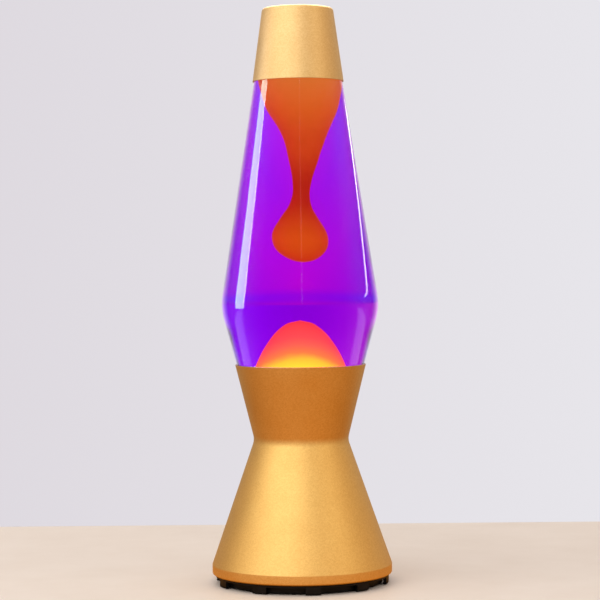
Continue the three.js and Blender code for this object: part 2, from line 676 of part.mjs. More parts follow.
// Round insulated leads, each along a smooth line through its route's points.
function lead(name, points, material) {
  const route = new THREE.CatmullRomCurve3(points.map((p) => new THREE.Vector3(...p)), false, "centripetal");
  const corners = [...Array(8).keys()].map((i) => new THREE.Vector2(...onCircle(LEAD_RADIUS, i * 45)));
  const steps = Math.ceil(route.getLength() / (3 * LEAD_RADIUS));
  const tube = new THREE.ExtrudeGeometry(new THREE.Shape(corners), { steps, extrudePath: route });
  piece(name, tube, material);
}
const leadEnd = BLOCK_X + BLOCK_LENGTH / 2 + TOUCH_GAP;
const fromBlock = (way) => [
  [leadEnd, wayY(way), WAY_Z],
  [leadEnd + 4, wayY(way), WAY_Z],
];
const intoHolder = (x) => [
  [x, 0, HOLDER_BOTTOM],
  [x, 0, CHAMBER_FLOOR - TOUCH_GAP],
];
lead(
  "lead_live",
  [
    ...fromBlock(-1),
    [-LEAD_X - 3.4, 1.4, WAY_Z + 1],
    [-LEAD_X - 0.6, 0, WAY_Z + 5.5],
    ...intoHolder(-LEAD_X),
  ],
  materials.sleeveBrown,
);
lead(
  "lead_neutral",
  [
    ...fromBlock(0),
    [-5, 9, WAY_Z - 1],
    [LEAD_X - 0.6, 5, WAY_Z],
    [LEAD_X + 0.8, 0.6, WAY_Z + 5],
    ...intoHolder(LEAD_X),
  ],
  materials.sleeveBlue,
);
const [tongueX, tongueY] = onCircle(SCREW_CIRCLE - TAG_TONGUE - 2 * LEAD_RADIUS, PLATE_SCREW_ANGLES[0]);
const tongueZ = (TAG_BOTTOM + TAG_TOP) / 2;
lead(
  "lead_earth",
  [
    ...fromBlock(1),
    [-2, 29, DECK_TOP + 4],
    [18, 31, DECK_TOP + 3],
    [tongueX - 6, tongueY - 2, tongueZ],
    [tongueX, tongueY, tongueZ],
  ],
  materials.sleeveGreen,
);

// ---- Bottle ----
const lowerRadius = (z) => BOTTLE_BOTTOM_RADIUS + (z - BOTTLE_BOTTOM) * LOWER_TAPER;
const upperRadius = (z) => SHOULDER_RADIUS - (z - SHOULDER_HEIGHT) * UPPER_TAPER;

// The inside of the glass, from the middle of the floor up to a height on the upper cone, drawn in by a gap.
const insideCorners = (gap, top) => [
  [0, BOTTLE_FLOOR + gap],
  [lowerRadius(BOTTLE_FLOOR) - GLASS_WALL - gap, BOTTLE_FLOOR + gap, 6],
  [SHOULDER_RADIUS - GLASS_WALL - gap, SHOULDER_HEIGHT, SHOULDER_FILLET],
  [upperRadius(top) - GLASS_WALL - gap, top],
];

function bottle() {
  const outside = [
    [0, BOTTLE_BOTTOM + KICK_HEIGHT],
    [KICK_RADIUS, BOTTLE_BOTTOM + KICK_HEIGHT],
    [KICK_RADIUS + 5, BOTTLE_BOTTOM],
    [BOTTLE_BOTTOM_RADIUS, BOTTLE_BOTTOM, 4],
    [SHOULDER_RADIUS, SHOULDER_HEIGHT, SHOULDER_FILLET],
    [upperRadius(TURN_IN_HEIGHT), TURN_IN_HEIGHT, 8],
    [NECK_RADIUS, NECK_BASE, 4],
    [NECK_RADIUS, MOUTH_HEIGHT - 5.5],
    [NECK_RADIUS + NECK_BEAD, MOUTH_HEIGHT - 4.5],
    [NECK_RADIUS + NECK_BEAD, MOUTH_HEIGHT - 1.8, 1],
    [NECK_RADIUS - 1, MOUTH_HEIGHT, 0.5],
    [NECK_BORE, MOUTH_HEIGHT],
  ];
  const [floor, corner, shoulder, top] = insideCorners(0, TURN_IN_HEIGHT - 2);
  const neck = [
    [NECK_BORE, NECK_BASE - 1, 5],
    [NECK_BORE, MOUTH_HEIGHT],
  ];
  const inside = [floor, corner, shoulder, [...top, 7], ...neck];
  const points = [...rounded(outside), ...rounded(inside).reverse().slice(1)];
  return new THREE.LatheGeometry(points, SIDES).rotateX(Math.PI / 2);
}
piece("bottle_glass", bottle(), materials.glass);

// ---- Wax, warm and slow: a column hanging from the top with a drop at its end, and a mound below ----
// Each point down the column is [radius, height, how far its middle leans towards +X].
const COLUMN_POINTS = [
  [25.4, LIQUID_TOP, 1.2],
  [22.9, 368, 1.7],
  [19.6, 351.8, 2.2],
  [12.8, 333.8, 3.2],
  [8.5, 315.8, 2.8],
  [5.4, 297.8, 1.7],
  [4.8, 288.8, 1.2],
  [6.5, 279.8, 0.5],
  [10.7, 270.8, -0.2],
  [14.9, 261.8, -0.1],
  [15.9, 255, 0.4],
  [14.6, 248.3, 1],
  [10.6, 242.8, 1.6],
  [5.6, 239.3, 1.9],
  [0, 238, 2],
];
const COLUMN_STEPS = 20;

// A wax profile turned round Z, grown by a gap on every side.
function turnedWax(profile, gap) {
  const grown = offset(profile, -gap);
  grown[0][0] = 0;
  grown.at(-1)[0] = 0;
  return turned(grown, WAX_SIDES);
}

function waxColumn(gap) {
  const control = COLUMN_POINTS.map((p) => new THREE.Vector3(...p)).reverse();
  const points = new THREE.CatmullRomCurve3(control, false, "centripetal").getPoints(COLUMN_STEPS);
  const geometry = turnedWax([...points.map((p) => [p.x, p.y]), [0, LIQUID_TOP]], gap);
  const position = geometry.getAttribute("position");
  for (let i = 0; i < position.count; i++) {
    const z = position.getZ(i);
    const above = points.findIndex((p, n) => n > 0 && p.y >= z);
    const upper = above < 0 ? points.length - 1 : above;
    const [low, high] = [points[upper - 1], points[upper]];
    const share = THREE.MathUtils.clamp((z - low.y) / (high.y - low.y), 0, 1);
    position.setX(i, position.getX(i) + THREE.MathUtils.lerp(low.z, high.z, share));
  }
  return geometry;
}

function waxMound(gap) {
  const profile = [
    [0, MOUND_FOOT],
    [31, MOUND_FOOT],
    [32, MOUND_FOOT + 3],
    [30.8, 145],
    [27.8, 158],
    [24.2, 170],
    [19.2, 182.8],
    [13.9, 192],
    [7.2, 198.3],
    [0, MOUND_TOP],
  ];
  return turnedWax(profile, gap);
}

// The coil lies in a trench that is open downwards.
function coilTrench() {
  const reach = COIL_RADIUS + COIL_WIRE + 0.5;
  const eaves = BOTTLE_FLOOR + 2 * reach - 1.4;
  return turnedRing(
    rounded([
      [COIL_CIRCLE - reach, BOTTLE_FLOOR],
      [COIL_CIRCLE + reach, BOTTLE_FLOOR],
      [COIL_CIRCLE + reach, eaves, 1.5],
      [COIL_CIRCLE, eaves + 1.8],
      [COIL_CIRCLE - reach, eaves],
    ]),
    WAX_SIDES,
  );
}

function liquid() {
  const full = turned([...insideCorners(TOUCH_GAP, LIQUID_TOP), [0, LIQUID_TOP]]);
  return built(full, { cut: [waxColumn(TOUCH_GAP), waxMound(TOUCH_GAP)] });
}
piece("liquid", liquid(), materials.liquid);
piece("wax_column", waxColumn(0), materials.wax);
piece("wax_mound", built(waxMound(0), { cut: [coilTrench()] }), materials.wax);

// A closed ring of coiled wire on the bottle's floor.
class CoilRing extends THREE.Curve {
  getPoint(t, target = new THREE.Vector3()) {
    const around = 2 * Math.PI * t;
    const twist = around * COIL_TURNS;
    const radius = COIL_CIRCLE + COIL_RADIUS * Math.cos(twist);
    return target.set(radius * Math.cos(around), radius * Math.sin(around), COIL_RADIUS * Math.sin(twist));
  }
}
const coil = new THREE.TubeGeometry(new CoilRing(), COIL_TURNS * 6, COIL_WIRE, 3, true);
coil.translate(0, 0, BOTTLE_FLOOR + TOUCH_GAP + COIL_RADIUS + COIL_WIRE);
piece("heat_coil", coil, materials.steel);

// ---- Crown cap and its liner on the bottle's mouth ----
const LINER_BOTTOM = MOUTH_HEIGHT + TOUCH_GAP;
const LINER_TOP = LINER_BOTTOM + LINER_THICKNESS;
const CROWN_TOP = LINER_TOP + TOUCH_GAP + CROWN_SHEET;
const liner = cylinder(LINER_RADIUS, LINER_BOTTOM, LINER_TOP, 0, 0, MEDIUM_SIDES);
piece("crown_liner", liner, materials.liner);

// Every second side of the skirt is drawn outwards, more so towards its edge.
function crownCap() {
  const outer = [
    [NECK_RADIUS + 2.4, CROWN_TOP - CROWN_HEIGHT],
    [NECK_RADIUS + 1.9, CROWN_TOP - 4],
    [NECK_RADIUS + 1.2, CROWN_TOP - 1.6],
    [NECK_RADIUS, CROWN_TOP - 0.3],
    [NECK_RADIUS - 1.6, CROWN_TOP],
    [0, CROWN_TOP],
  ];
  const inner = offset(outer, CROWN_SHEET);
  inner.at(-1)[0] = 0;
  const sides = 2 * CROWN_FLUTES;
  const geometry = turnedWall(outer, inner, sides);
  const position = geometry.getAttribute("position");
  for (let i = 0; i < position.count; i++) {
    const [x, y, z] = [position.getX(i), position.getY(i), position.getZ(i)];
    const side = Math.round((Math.atan2(x, -y) / (2 * Math.PI)) * sides);
    const depth = THREE.MathUtils.clamp((CROWN_TOP - 1.5 - z) / 4, 0, 1);
    const flare = side % 2 === 0 ? 1 + CROWN_FLUTE_DEPTH * depth : 1;
    position.setXYZ(i, x * flare, y * flare, z);
  }
  return geometry;
}
piece("crown_cap", crownCap(), materials.steel);

// ---- Cap ----
function cap() {
  const outer = [
    [CAP_BOTTOM_RADIUS, CAP_BOTTOM],
    [CAP_TOP_RADIUS, LAMP_HEIGHT, CAP_FILLET],
    [0, LAMP_HEIGHT],
  ];
  const inner = offset(outer, CAP_WALL);
  inner.at(-1)[0] = 0;
  return turnedWall(outer, inner);
}
piece("cap_shell", cap(), materials.gold);

export default lamp;
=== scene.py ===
# The looks of a lava lamp: a satin gold base and cap, a glass bottle of violet liquid, and glowing wax.
# Sizes are in millimetres as far as the mesh helpers, which turn them into metres.
import json
import math

import bmesh
import bpy
from mathutils import Matrix, Vector, noise

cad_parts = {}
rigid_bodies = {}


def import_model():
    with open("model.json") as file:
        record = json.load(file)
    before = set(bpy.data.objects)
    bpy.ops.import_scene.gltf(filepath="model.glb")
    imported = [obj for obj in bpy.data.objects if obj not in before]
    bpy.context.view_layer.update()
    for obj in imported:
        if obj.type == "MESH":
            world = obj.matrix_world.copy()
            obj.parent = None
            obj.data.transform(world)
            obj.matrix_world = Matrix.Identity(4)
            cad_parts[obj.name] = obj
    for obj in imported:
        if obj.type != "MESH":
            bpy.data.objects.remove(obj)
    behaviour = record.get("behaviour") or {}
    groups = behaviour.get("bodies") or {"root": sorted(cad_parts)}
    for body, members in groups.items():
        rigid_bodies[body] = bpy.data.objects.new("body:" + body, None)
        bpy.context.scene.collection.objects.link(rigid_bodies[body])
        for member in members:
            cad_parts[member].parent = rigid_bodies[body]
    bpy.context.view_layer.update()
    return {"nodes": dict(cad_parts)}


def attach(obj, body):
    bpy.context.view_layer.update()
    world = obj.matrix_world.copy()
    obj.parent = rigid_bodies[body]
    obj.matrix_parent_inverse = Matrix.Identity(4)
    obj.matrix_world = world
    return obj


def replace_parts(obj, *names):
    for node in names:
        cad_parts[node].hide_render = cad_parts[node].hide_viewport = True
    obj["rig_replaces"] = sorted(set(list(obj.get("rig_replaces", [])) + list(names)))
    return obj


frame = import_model()

MM = 0.001

# ---- Sizes, the same as the CAD's ----
TOUCH_GAP = 0.3

SHELL_WALL = 0.9
BAND_RADIUS = 67.4
BAND_BOTTOM = 7.3
BAND_TOP = 14.5
BAND_EDGE_FILLET = 1.5
WAIST_RADIUS = 35.1
WAIST_HEIGHT = 107.5
WAIST_FILLET = 12
RIM_RADIUS = 49
RIM_HEIGHT = 163.7
LIP_RADIUS = 60.8
EDGE_ROUNDING = 0.3  # of the shell's and the cap's cut sheet edges

FOOT_RADIUS = 65
FOOT_WALL = 2.6
FOOT_BOTTOM = 0.5
FOOT_TOP = BAND_BOTTOM - TOUCH_GAP
DECK_RADIUS = 60.2
DECK_BOTTOM = 6
DECK_TOP = BAND_BOTTOM + SHELL_WALL
ABOVE_DECK = DECK_TOP + TOUCH_GAP
POST_COUNT = 10
POST_ANGLE = 10
POST_TURN = 7
SLOT_TOP = 5.6
SKIRT_RADIUS = 60.4
SKIRT_WALL = 1.4
SKIRT_BOTTOM = 0.8
DECK_VENT_CIRCLE = 36
DECK_VENT_ANGLES = (195, 225, 255, 285, 315, 345)
DECK_VENT_SPREAD = 9
DECK_VENT_HALF_WIDTH = 2.2
BOSS_WALL = 0.6
PAD_RADIUS = 5
PAD_HEIGHT = 2.2
PAD_CIRCLE = 53
PAD_ANGLES = (45, 135, 225, 315)
SCREW_CIRCLE = 55
SCREW_BOSS_RADIUS = 4.2
PLATE_SCREW_ANGLES = (30, 150, 270)
CORD_WAY_WIDTH = 8
CORD_WAY_DEPTH = 12
GROMMET_Y = 42
GROMMET_HOLE = 4.8
GROMMET_BORE = 3.3
GROMMET_LIP = 1.4

M3_HOLE = 1.8
M3_HEAD = 2.9
STRIP = 1.5

HOLDER_BOTTOM = 24.3
HOLDER_TOP = 42
HOLDER_RADIUS = 14
HOLDER_LID = 3
CHAMBER_FLOOR = 33
HOLDER_SCREW_Y = 10.2
HEAD_RECESS = 2.4
CONTACT_THICKNESS = 0.7
PIN_CIRCLE = 5
PIN_TURN = 40
PIN_NECK = 1.3
PIN_HEAD = 2.25
PIN_PLAY = 0.4
KEYWAY_HEAD = PIN_HEAD + 0.45
KEYWAY_NECK = PIN_NECK + 0.4
BULB_BASE_BOTTOM = HOLDER_TOP + TOUCH_GAP
BULB_BASE_RADIUS = 12.6
REFLECTOR_BOTTOM = 55.3
REFLECTOR_TOP = 94
REFLECTOR_RADIUS = 25.2
REFLECTOR_STEM = 10.4
REFLECTOR_WALL = 1.2
REFLECTOR_BAND = 4
CAPSULE_RADIUS = 4.4
CAPSULE_TOP = 81
BRACKET_FOOT_Y = 20

BLOCK_X = -27
BLOCK_Y = 12
BLOCK_LENGTH = 17
WAY_PITCH = 8
WAY_Z = DECK_TOP + 6.5
LEAD_RADIUS = 1.1
LEAD_X = 7.2
TAG_TONGUE = 10

GLASS_WALL = 2.5
BOTTLE_BOTTOM = 123
BOTTLE_BOTTOM_RADIUS = 36.6
KICK_RADIUS = 24
KICK_HEIGHT = 1.8
BOTTLE_FLOOR = 128.2
SHOULDER_RADIUS = 59.6
SHOULDER_HEIGHT = 206.8
SHOULDER_FILLET = 45
UPPER_TAPER = 0.1577
LOWER_TAPER = (SHOULDER_RADIUS - BOTTLE_BOTTOM_RADIUS) / (SHOULDER_HEIGHT - BOTTLE_BOTTOM)
TURN_IN_HEIGHT = 394
NECK_RADIUS = 12.6
NECK_BORE = 9
NECK_BASE = 402.5
NECK_BEAD = 0.7
MOUTH_HEIGHT = 415
LIQUID_TOP = 388
WETTED = 0.15  # the liquid's surface lies this deep in the glass, so that no air shows between them
MOUND_FOOT = BOTTLE_FLOOR + TOUCH_GAP
MOUND_TOP = 200.4
COLUMN_BOTTOM = 238
COIL_CIRCLE = 26
COIL_RADIUS = 2.6
COIL_WIRE = 0.5
COIL_TURNS = 20

CROWN_FLUTES = 21
CROWN_SHEET = 0.4
CROWN_HEIGHT = 6.2
CROWN_FLUTE_DEPTH = 0.045
LINER_RADIUS = 11.5
LINER_BOTTOM = MOUTH_HEIGHT + TOUCH_GAP
LINER_TOP = LINER_BOTTOM + 0.7
CROWN_TOP = LINER_TOP + TOUCH_GAP + CROWN_SHEET

LAMP_HEIGHT = 430
CAP_BOTTOM = 375.2
CAP_BOTTOM_RADIUS = 34.1
CAP_TOP_RADIUS = 26.5
CAP_WALL = 0.7
CAP_FILLET = 2.6

# ---- How finely round things are cut ----
SIDES = 160
FINE_SIDES = 96
MEDIUM_SIDES = 72
BUSH_SIDES = 48
SMALL_SIDES = 32
LEAD_SIDES = 20
COIL_WIRE_SIDES = 10
ARC_STEP = math.radians(5)
SHARP_EDGE = math.radians(32)


# ---- Outlines ----
def on_circle(radius, degrees):
    angle = math.radians(degrees)
    return radius * math.cos(angle), radius * math.sin(angle)


def arc(middle, radius, from_degrees, to_degrees):
    steps = max(2, math.ceil(math.radians(abs(to_degrees - from_degrees)) / (2 * ARC_STEP)))
    turn = to_degrees - from_degrees
    places = [on_circle(radius, from_degrees + turn * i / steps) for i in range(steps + 1)]
    return [(middle[0] + x, middle[1] + y) for x, y in places]


def rounded(corners, closed=False):
    """Corners (x, y, fillet radius) as a line of points, each fillet an arc in even steps."""
    points = []
    count = len(corners)
    for i, corner in enumerate(corners):
        here = Vector(corner[:2])
        fillet = corner[2] if len(corner) > 2 else 0
        if not fillet or not (closed or 0 < i < count - 1):
            points.append(tuple(here))
            continue
        before = (Vector(corners[i - 1][:2]) - here).normalized()
        after = (Vector(corners[(i + 1) % count][:2]) - here).normalized()
        half = before.angle(after) / 2
        centre = here + (before + after).normalized() * fillet / math.sin(half)
        reach = fillet / math.tan(half)
        start = here + before * reach - centre
        end = here + after * reach - centre
        turn = math.atan2(start.x * end.y - start.y * end.x, start.dot(end))
        steps = max(1, math.ceil(abs(turn) / ARC_STEP))
        for s in range(steps + 1):
            points.append(tuple(centre + Matrix.Rotation(turn * s / steps, 2) @ start))
    return points


def offset(corners, wall):
    """Corners moved to the left of their direction by a wall's thickness; fillets keep their centres."""
    moved = []
    for i, corner in enumerate(corners):
        here = Vector(corner[:2])
        ways = []
        if i > 0:
            ways.append((here - Vector(corners[i - 1][:2])).normalized())
        if i < len(corners) - 1:
            ways.append((Vector(corners[i + 1][:2]) - here).normalized())
        lefts = [Vector((-way.y, way.x)) for way in ways]
        mean = (lefts[0] + lefts[-1]).normalized()
        place = here + mean * wall / mean.dot(lefts[0])
        turns_left = len(ways) == 2 and ways[0].x * ways[1].y - ways[0].y * ways[1].x > 0
        fillet = corner[2] if len(corner) > 2 else 0
        if fillet:
            fillet = max(0.2, fillet - wall if turns_left else fillet + wall)
        moved.append((place.x, place.y, fillet))
    return moved


def sheet_wall(outer, wall, edge):
    """The closed outline of a bent sheet: its outer corners, then its inner ones on the way back.
    The corners of its two cut ends are rounded."""
    corners = [*outer, *reversed(offset(outer, wall))]
    for i in (0, len(outer) - 1, len(outer), len(corners) - 1):
        corners[i] = (*corners[i][:2], edge)
    return corners


def split_long(points, longest):
    """The same line with points added along stretches longer than a limit."""
    line = [points[0]]
    for a, b in zip(points, points[1:]):
        a, b = Vector(a), Vector(b)
        parts = max(1, math.ceil((b - a).length / longest))
        line += [tuple(a.lerp(b, part / parts)) for part in range(1, parts + 1)]
    return line


def smooth_line(points, steps):
    """A centripetal Catmull-Rom line through the points."""
    knots = [Vector(p) for p in points]
    knots = [2 * knots[0] - knots[1], *knots, 2 * knots[-1] - knots[-2]]
    line = []
    for a, b, c, d in zip(knots, knots[1:], knots[2:], knots[3:]):
        times = [0]
        for start, end in ((a, b), (b, c), (c, d)):
            times.append(times[-1] + max(1e-6, (end - start).length) ** 0.5)
        t0, t1, t2, t3 = times
        for step in range(steps):
            t = t1 + (t2 - t1) * step / steps
            ab = a.lerp(b, (t - t0) / (t1 - t0))
            bc = b.lerp(c, (t - t1) / (t2 - t1))
            cd = c.lerp(d, (t - t2) / (t3 - t2))
            abc = ab.lerp(bc, (t - t0) / (t2 - t0))
            bcd = bc.lerp(cd, (t - t1) / (t3 - t1))
            line.append(abc.lerp(bcd, (t - t1) / (t2 - t1)))
    line.append(knots[-2])
    return line


# ---- Shapes: each is (vertices, faces) in millimetres ----
def lathe(outline, sides, middle=(0, 0)):
    """An outline of (radius, height) or (radius, height, lean towards +X), turned round an upright axis.
    It runs anticlockwise. One that starts on the axis ends on it; any other closes on itself."""
    vertices, rows = [], []
    for radius, height, *lean in outline:
        on_axis = radius < 1e-6
        shift = lean[0] if lean else 0
        places = [(0, 0)] if on_axis else [on_circle(radius, 360 * i / sides) for i in range(sides)]
        rows.append(range(len(vertices), len(vertices) + len(places)))
        vertices += [(middle[0] + shift + x, middle[1] + y, height) for x, y in places]
    if outline[0][0] > 1e-6:
        rows.append(rows[0])
    faces = []
    for low, high in zip(rows, rows[1:]):
        for i in range(sides):
            j = (i + 1) % sides
            corners = (low[i % len(low)], low[j % len(low)], high[j % len(high)], high[i % len(high)])
            face = tuple(dict.fromkeys(corners))
            if len(face) > 2:
                faces.append(face)
    return vertices, faces


def cylinder(radius, bottom, top, middle):
    return lathe([(0, bottom), (radius, bottom), (radius, top), (0, top)], SMALL_SIDES, middle)


def prism(outline, bottom, top):
    """A flat anticlockwise outline raised from one height to another."""
    count = len(outline)
    vertices = [(x, y, bottom) for x, y in outline] + [(x, y, top) for x, y in outline]
    sides = [(i, (i + 1) % count, count + (i + 1) % count, count + i) for i in range(count)]
    return vertices, [tuple(reversed(range(count))), tuple(range(count, 2 * count)), *sides]


def block(low, high):
    outline = [(low[0], low[1]), (high[0], low[1]), (high[0], high[1]), (low[0], high[1])]
    return prism(outline, low[2], high[2])


def arc_slot(circle, half_width, from_degrees, to_degrees):
    """The outline of a slot with round ends, bent along a circle round the origin."""
    far, near = on_circle(circle, to_degrees), on_circle(circle, from_degrees)
    return [
        *arc((0, 0), circle + half_width, from_degrees, to_degrees),
        *arc(far, half_width, to_degrees, to_degrees + 180)[1:-1],
        *arc((0, 0), circle - half_width, to_degrees, from_degrees),
        *arc(near, half_width, from_degrees + 180, from_degrees + 360)[1:-1],
    ]


def tube(line, radius, sides, closed=False):
    """A round tube along a line of points."""
    count = len(line)
    vertices = []
    across = None
    for i, point in enumerate(line):
        before = line[i - 1] if closed or i else point
        after = line[(i + 1) % count] if closed or i < count - 1 else point
        along = (after - before).normalized()
        if across is None:
            across = along.orthogonal().normalized()
        across = (across - along * across.dot(along)).normalized()
        other = along.cross(across)
        for side in range(sides):
            x, y = on_circle(radius, 360 * side / sides)
            vertices.append(tuple(point + across * x + other * y))
    faces = []
    for ring in range(count if closed else count - 1):
        low, high = ring * sides, (ring + 1) % count * sides
        for side in range(sides):
            ahead = (side + 1) % sides
            faces.append((low + side, low + ahead, high + ahead, high + side))
    if not closed:
        faces.append(tuple(reversed(range(sides))))
        faces.append(tuple(range((count - 1) * sides, count * sides)))
    return vertices, faces


def together(shapes):
    """Several shapes as one."""
    vertices, faces = [], []
    for more_vertices, more_faces in shapes:
        start = len(vertices)
        vertices += more_vertices
        faces += [tuple(start + corner for corner in face) for face in more_faces]
    return vertices, faces


# ---- Meshes ----
def mesh_from(name, shape):
    mesh = bpy.data.meshes.new(name)
    mesh.from_pydata([Vector(vertex) * MM for vertex in shape[0]], [], shape[1])
    tidy = bmesh.new()
    tidy.from_mesh(mesh)
    bmesh.ops.recalc_face_normals(tidy, faces=tidy.faces)
    tidy.to_mesh(mesh)
    tidy.free()
    return mesh


def with_modifier(mesh, kind, **settings):
    """The mesh as a modifier leaves it."""
    holder = bpy.data.objects.new("holder", mesh)
    bpy.context.scene.collection.objects.link(holder)
    modifier = holder.modifiers.new(kind, kind)
    for setting, value in settings.items():
        setattr(modifier, setting, value)
    bpy.context.view_layer.update()
    evaluated = holder.evaluated_get(bpy.context.evaluated_depsgraph_get())
    made = bpy.data.meshes.new_from_object(evaluated)
    bpy.data.objects.remove(holder)
    return made


def combined(mesh, operation, shape, use_self=False):
    """The mesh with a shape joined on (UNION) or cut away (DIFFERENCE). use_self is for a shape whose
    parts run into each other."""
    tool = bpy.data.objects.new("tool", mesh_from("tool", shape))
    bpy.context.scene.collection.objects.link(tool)
    how = {"operation": operation, "object": tool, "solver": "EXACT", "use_self": use_self}
    made = with_modifier(mesh, "BOOLEAN", **how)
    bpy.data.objects.remove(tool)
    return made


def piece(name, mesh, body, slot, material, *nodes):
    """A shown piece that rides on a body and stands for CAD nodes."""
    if isinstance(mesh, tuple):
        mesh = mesh_from(name, mesh)
    mesh.polygons.foreach_set("use_smooth", [True] * len(mesh.polygons))
    mesh.set_sharp_from_angle(angle=SHARP_EDGE)
    made = bpy.data.objects.new(name, mesh)
    bpy.context.scene.collection.objects.link(made)
    mesh.materials.clear()
    mesh.materials.append(material)
    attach(made, body)
    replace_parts(made, *nodes)
    return made


def rippled(mesh, depth, reach, spared):
    """Moves each vertex along its normal by a smooth noise, as in blown glass or soft wax."""
    normals = [vertex.normal.copy() for vertex in mesh.vertices]
    for vertex, normal in zip(mesh.vertices, normals):
        if not spared(vertex.co / MM):
            vertex.co += normal * noise.noise(vertex.co / (reach * MM)) * depth * MM
    return mesh


# ---- Materials ----
def new_material(name, **fixed):
    """A material whose shader has the given sockets set, with underscores for their spaces."""
    material = bpy.data.materials.new(name)
    material.use_nodes = True
    shader = material.node_tree.nodes["Principled BSDF"]
    for socket, value in fixed.items():
        shader.inputs[socket.replace("_", " ")].default_value = value
    return material, material.node_tree, shader


def node(tree, kind, inputs=None, **settings):
    made = tree.nodes.new("ShaderNode" + kind)
    for setting, value in settings.items():
        setattr(made, setting, value)
    for socket, value in (inputs or {}).items():
        if isinstance(value, bpy.types.NodeSocket):
            tree.links.new(value, made.inputs[socket])
        else:
            made.inputs[socket].default_value = value
    return made


def ramp(tree, factor, stops, smooth=False):
    made = node(tree, "ValToRGB", {"Fac": factor})
    if smooth:
        made.color_ramp.interpolation = "EASE"
    elements = made.color_ramp.elements
    for i, (place, colour) in enumerate(stops):
        element = elements[i] if i < 2 else elements.new(place)
        element.position = place
        element.color = (*colour, 1)
    return made.outputs["Color"]


def ranged(tree, value, low, high, from_low=0, from_high=1):
    inputs = {"Value": value, "From Min": from_low, "From Max": from_high, "To Min": low, "To Max": high}
    return node(tree, "MapRange", inputs).outputs["Result"]


def computed(tree, operation, *values):
    return node(tree, "Math", dict(enumerate(values)), operation=operation).outputs["Value"]


def mixed(tree, share, one, other):
    """One shader, or the other where the share is 1."""
    return node(tree, "MixShader", {0: share, 1: one, 2: other}).outputs[0]


def object_place(tree):
    return node(tree, "TexCoord").outputs["Object"]


def grain(tree, size, detail=3, place=None):
    """Noise whose features are about the given size in millimetres."""
    place = place or object_place(tree)
    inputs = {"Vector": place, "Scale": 1 / (size * MM), "Detail": detail, "Roughness": 0.6}
    return node(tree, "TexNoise", inputs).outputs["Fac"]


def emboss(tree, shader, height, depth):
    """Raises the surface by a pattern, as far as the given depth in millimetres."""
    bump = node(tree, "Bump", {"Height": height, "Distance": depth * MM, "Strength": 1.0})
    tree.links.new(bump.outputs["Normal"], shader.inputs["Normal"])


def textured(name, dark, light, size, roughness, relief=0, relief_size=0, **fixed):
    """A finish whose colour and roughness vary with a noise, over a fine relief (millimetres)."""
    material, tree, shader = new_material(name, **fixed)
    pattern = grain(tree, size)
    tree.links.new(ramp(tree, pattern, [(0.3, dark), (0.7, light)]), shader.inputs["Base Color"])
    tree.links.new(ranged(tree, pattern, *roughness, 0.3, 0.7), shader.inputs["Roughness"])
    if relief:
        emboss(tree, shader, grain(tree, relief_size, detail=2), relief)
    return material


FLAKE_SIZE = 0.75
PEBBLE_SIZE = 0.5
PEBBLE_DEPTH = 0.006
CLOUD_SIZE = 28


def gold_finish(name, dark, light):
    """Satin gold coat: fine bright flakes, a pebbled skin, and cloudy changes of gloss."""
    material, tree, shader = new_material(name, Metallic=1.0)
    place = object_place(tree)
    flakes = node(tree, "TexVoronoi", {"Vector": place, "Scale": 1 / (FLAKE_SIZE * MM)})
    glint = node(tree, "SeparateColor", {"Color": flakes.outputs["Color"]}).outputs["Red"]
    pebbles = grain(tree, PEBBLE_SIZE, detail=2, place=place)
    cloud = grain(tree, CLOUD_SIZE, detail=4, place=place)
    speckle = computed(tree, "ADD", glint, pebbles)
    colour = ramp(tree, ranged(tree, speckle, 0, 1, 0.2, 1.6), [(0, dark), (1, light)])
    tree.links.new(colour, shader.inputs["Base Color"])
    gloss = computed(tree, "ADD", ranged(tree, glint, -0.03, 0.03), cloud)
    tree.links.new(ranged(tree, gloss, 0.46, 0.56, 0.25, 0.75), shader.inputs["Roughness"])
    emboss(tree, shader, speckle, PEBBLE_DEPTH)
    return material


WAX_IOR = 1.08  # as wax lies in the liquid: 1.44 over 1.33


def painted_glow_finish(name, dark, light, stops, bottom, top, strength, sag=0):
    """Wax with painted light: an emitted glow, painted to stand for the bulb's light shining up through
    it, follows the height, over a base colour with faint cloudiness. With a sag, the levels of the painted
    glow drop to both sides, by that many millimetres for each square millimetre."""
    material, tree, shader = new_material(name, Emission_Strength=strength, IOR=WAX_IOR)
    place = object_place(tree)
    cloud = grain(tree, 9, detail=3, place=place)
    tree.links.new(ramp(tree, cloud, [(0.3, dark), (0.7, light)]), shader.inputs["Base Color"])
    tree.links.new(ranged(tree, cloud, 0.28, 0.42), shader.inputs["Roughness"])
    x, _, z = node(tree, "SeparateXYZ", {"Vector": place}).outputs
    aside = computed(tree, "POWER", x, 2.0)
    hump = computed(tree, "MULTIPLY_ADD", aside, sag / MM, z)
    level = ranged(tree, hump, 0, 1, bottom * MM, top * MM)
    level = computed(tree, "ADD", level, ranged(tree, cloud, -0.02, 0.02))
    scaled = [
        ((height - bottom) / (top - bottom), [part / strength for part in colour])
        for height, colour in stops
    ]
    tree.links.new(ramp(tree, level, scaled), shader.inputs["Emission Color"])
    material.cycles.emission_sampling = "NONE"
    return material


def clear_glass(name, colour, ior, roughness=0.0, mirrors=True):
    """See-through stuff. Where glass and liquid meet, next to nothing is mirrored."""
    base = (*colour, 1)
    settings = {"Base_Color": base, "Roughness": roughness, "IOR": ior, "Transmission_Weight": 1.0}
    if not mirrors:
        settings["Specular_Tint"] = (0, 0, 0, 1)
    return new_material(name, **settings)


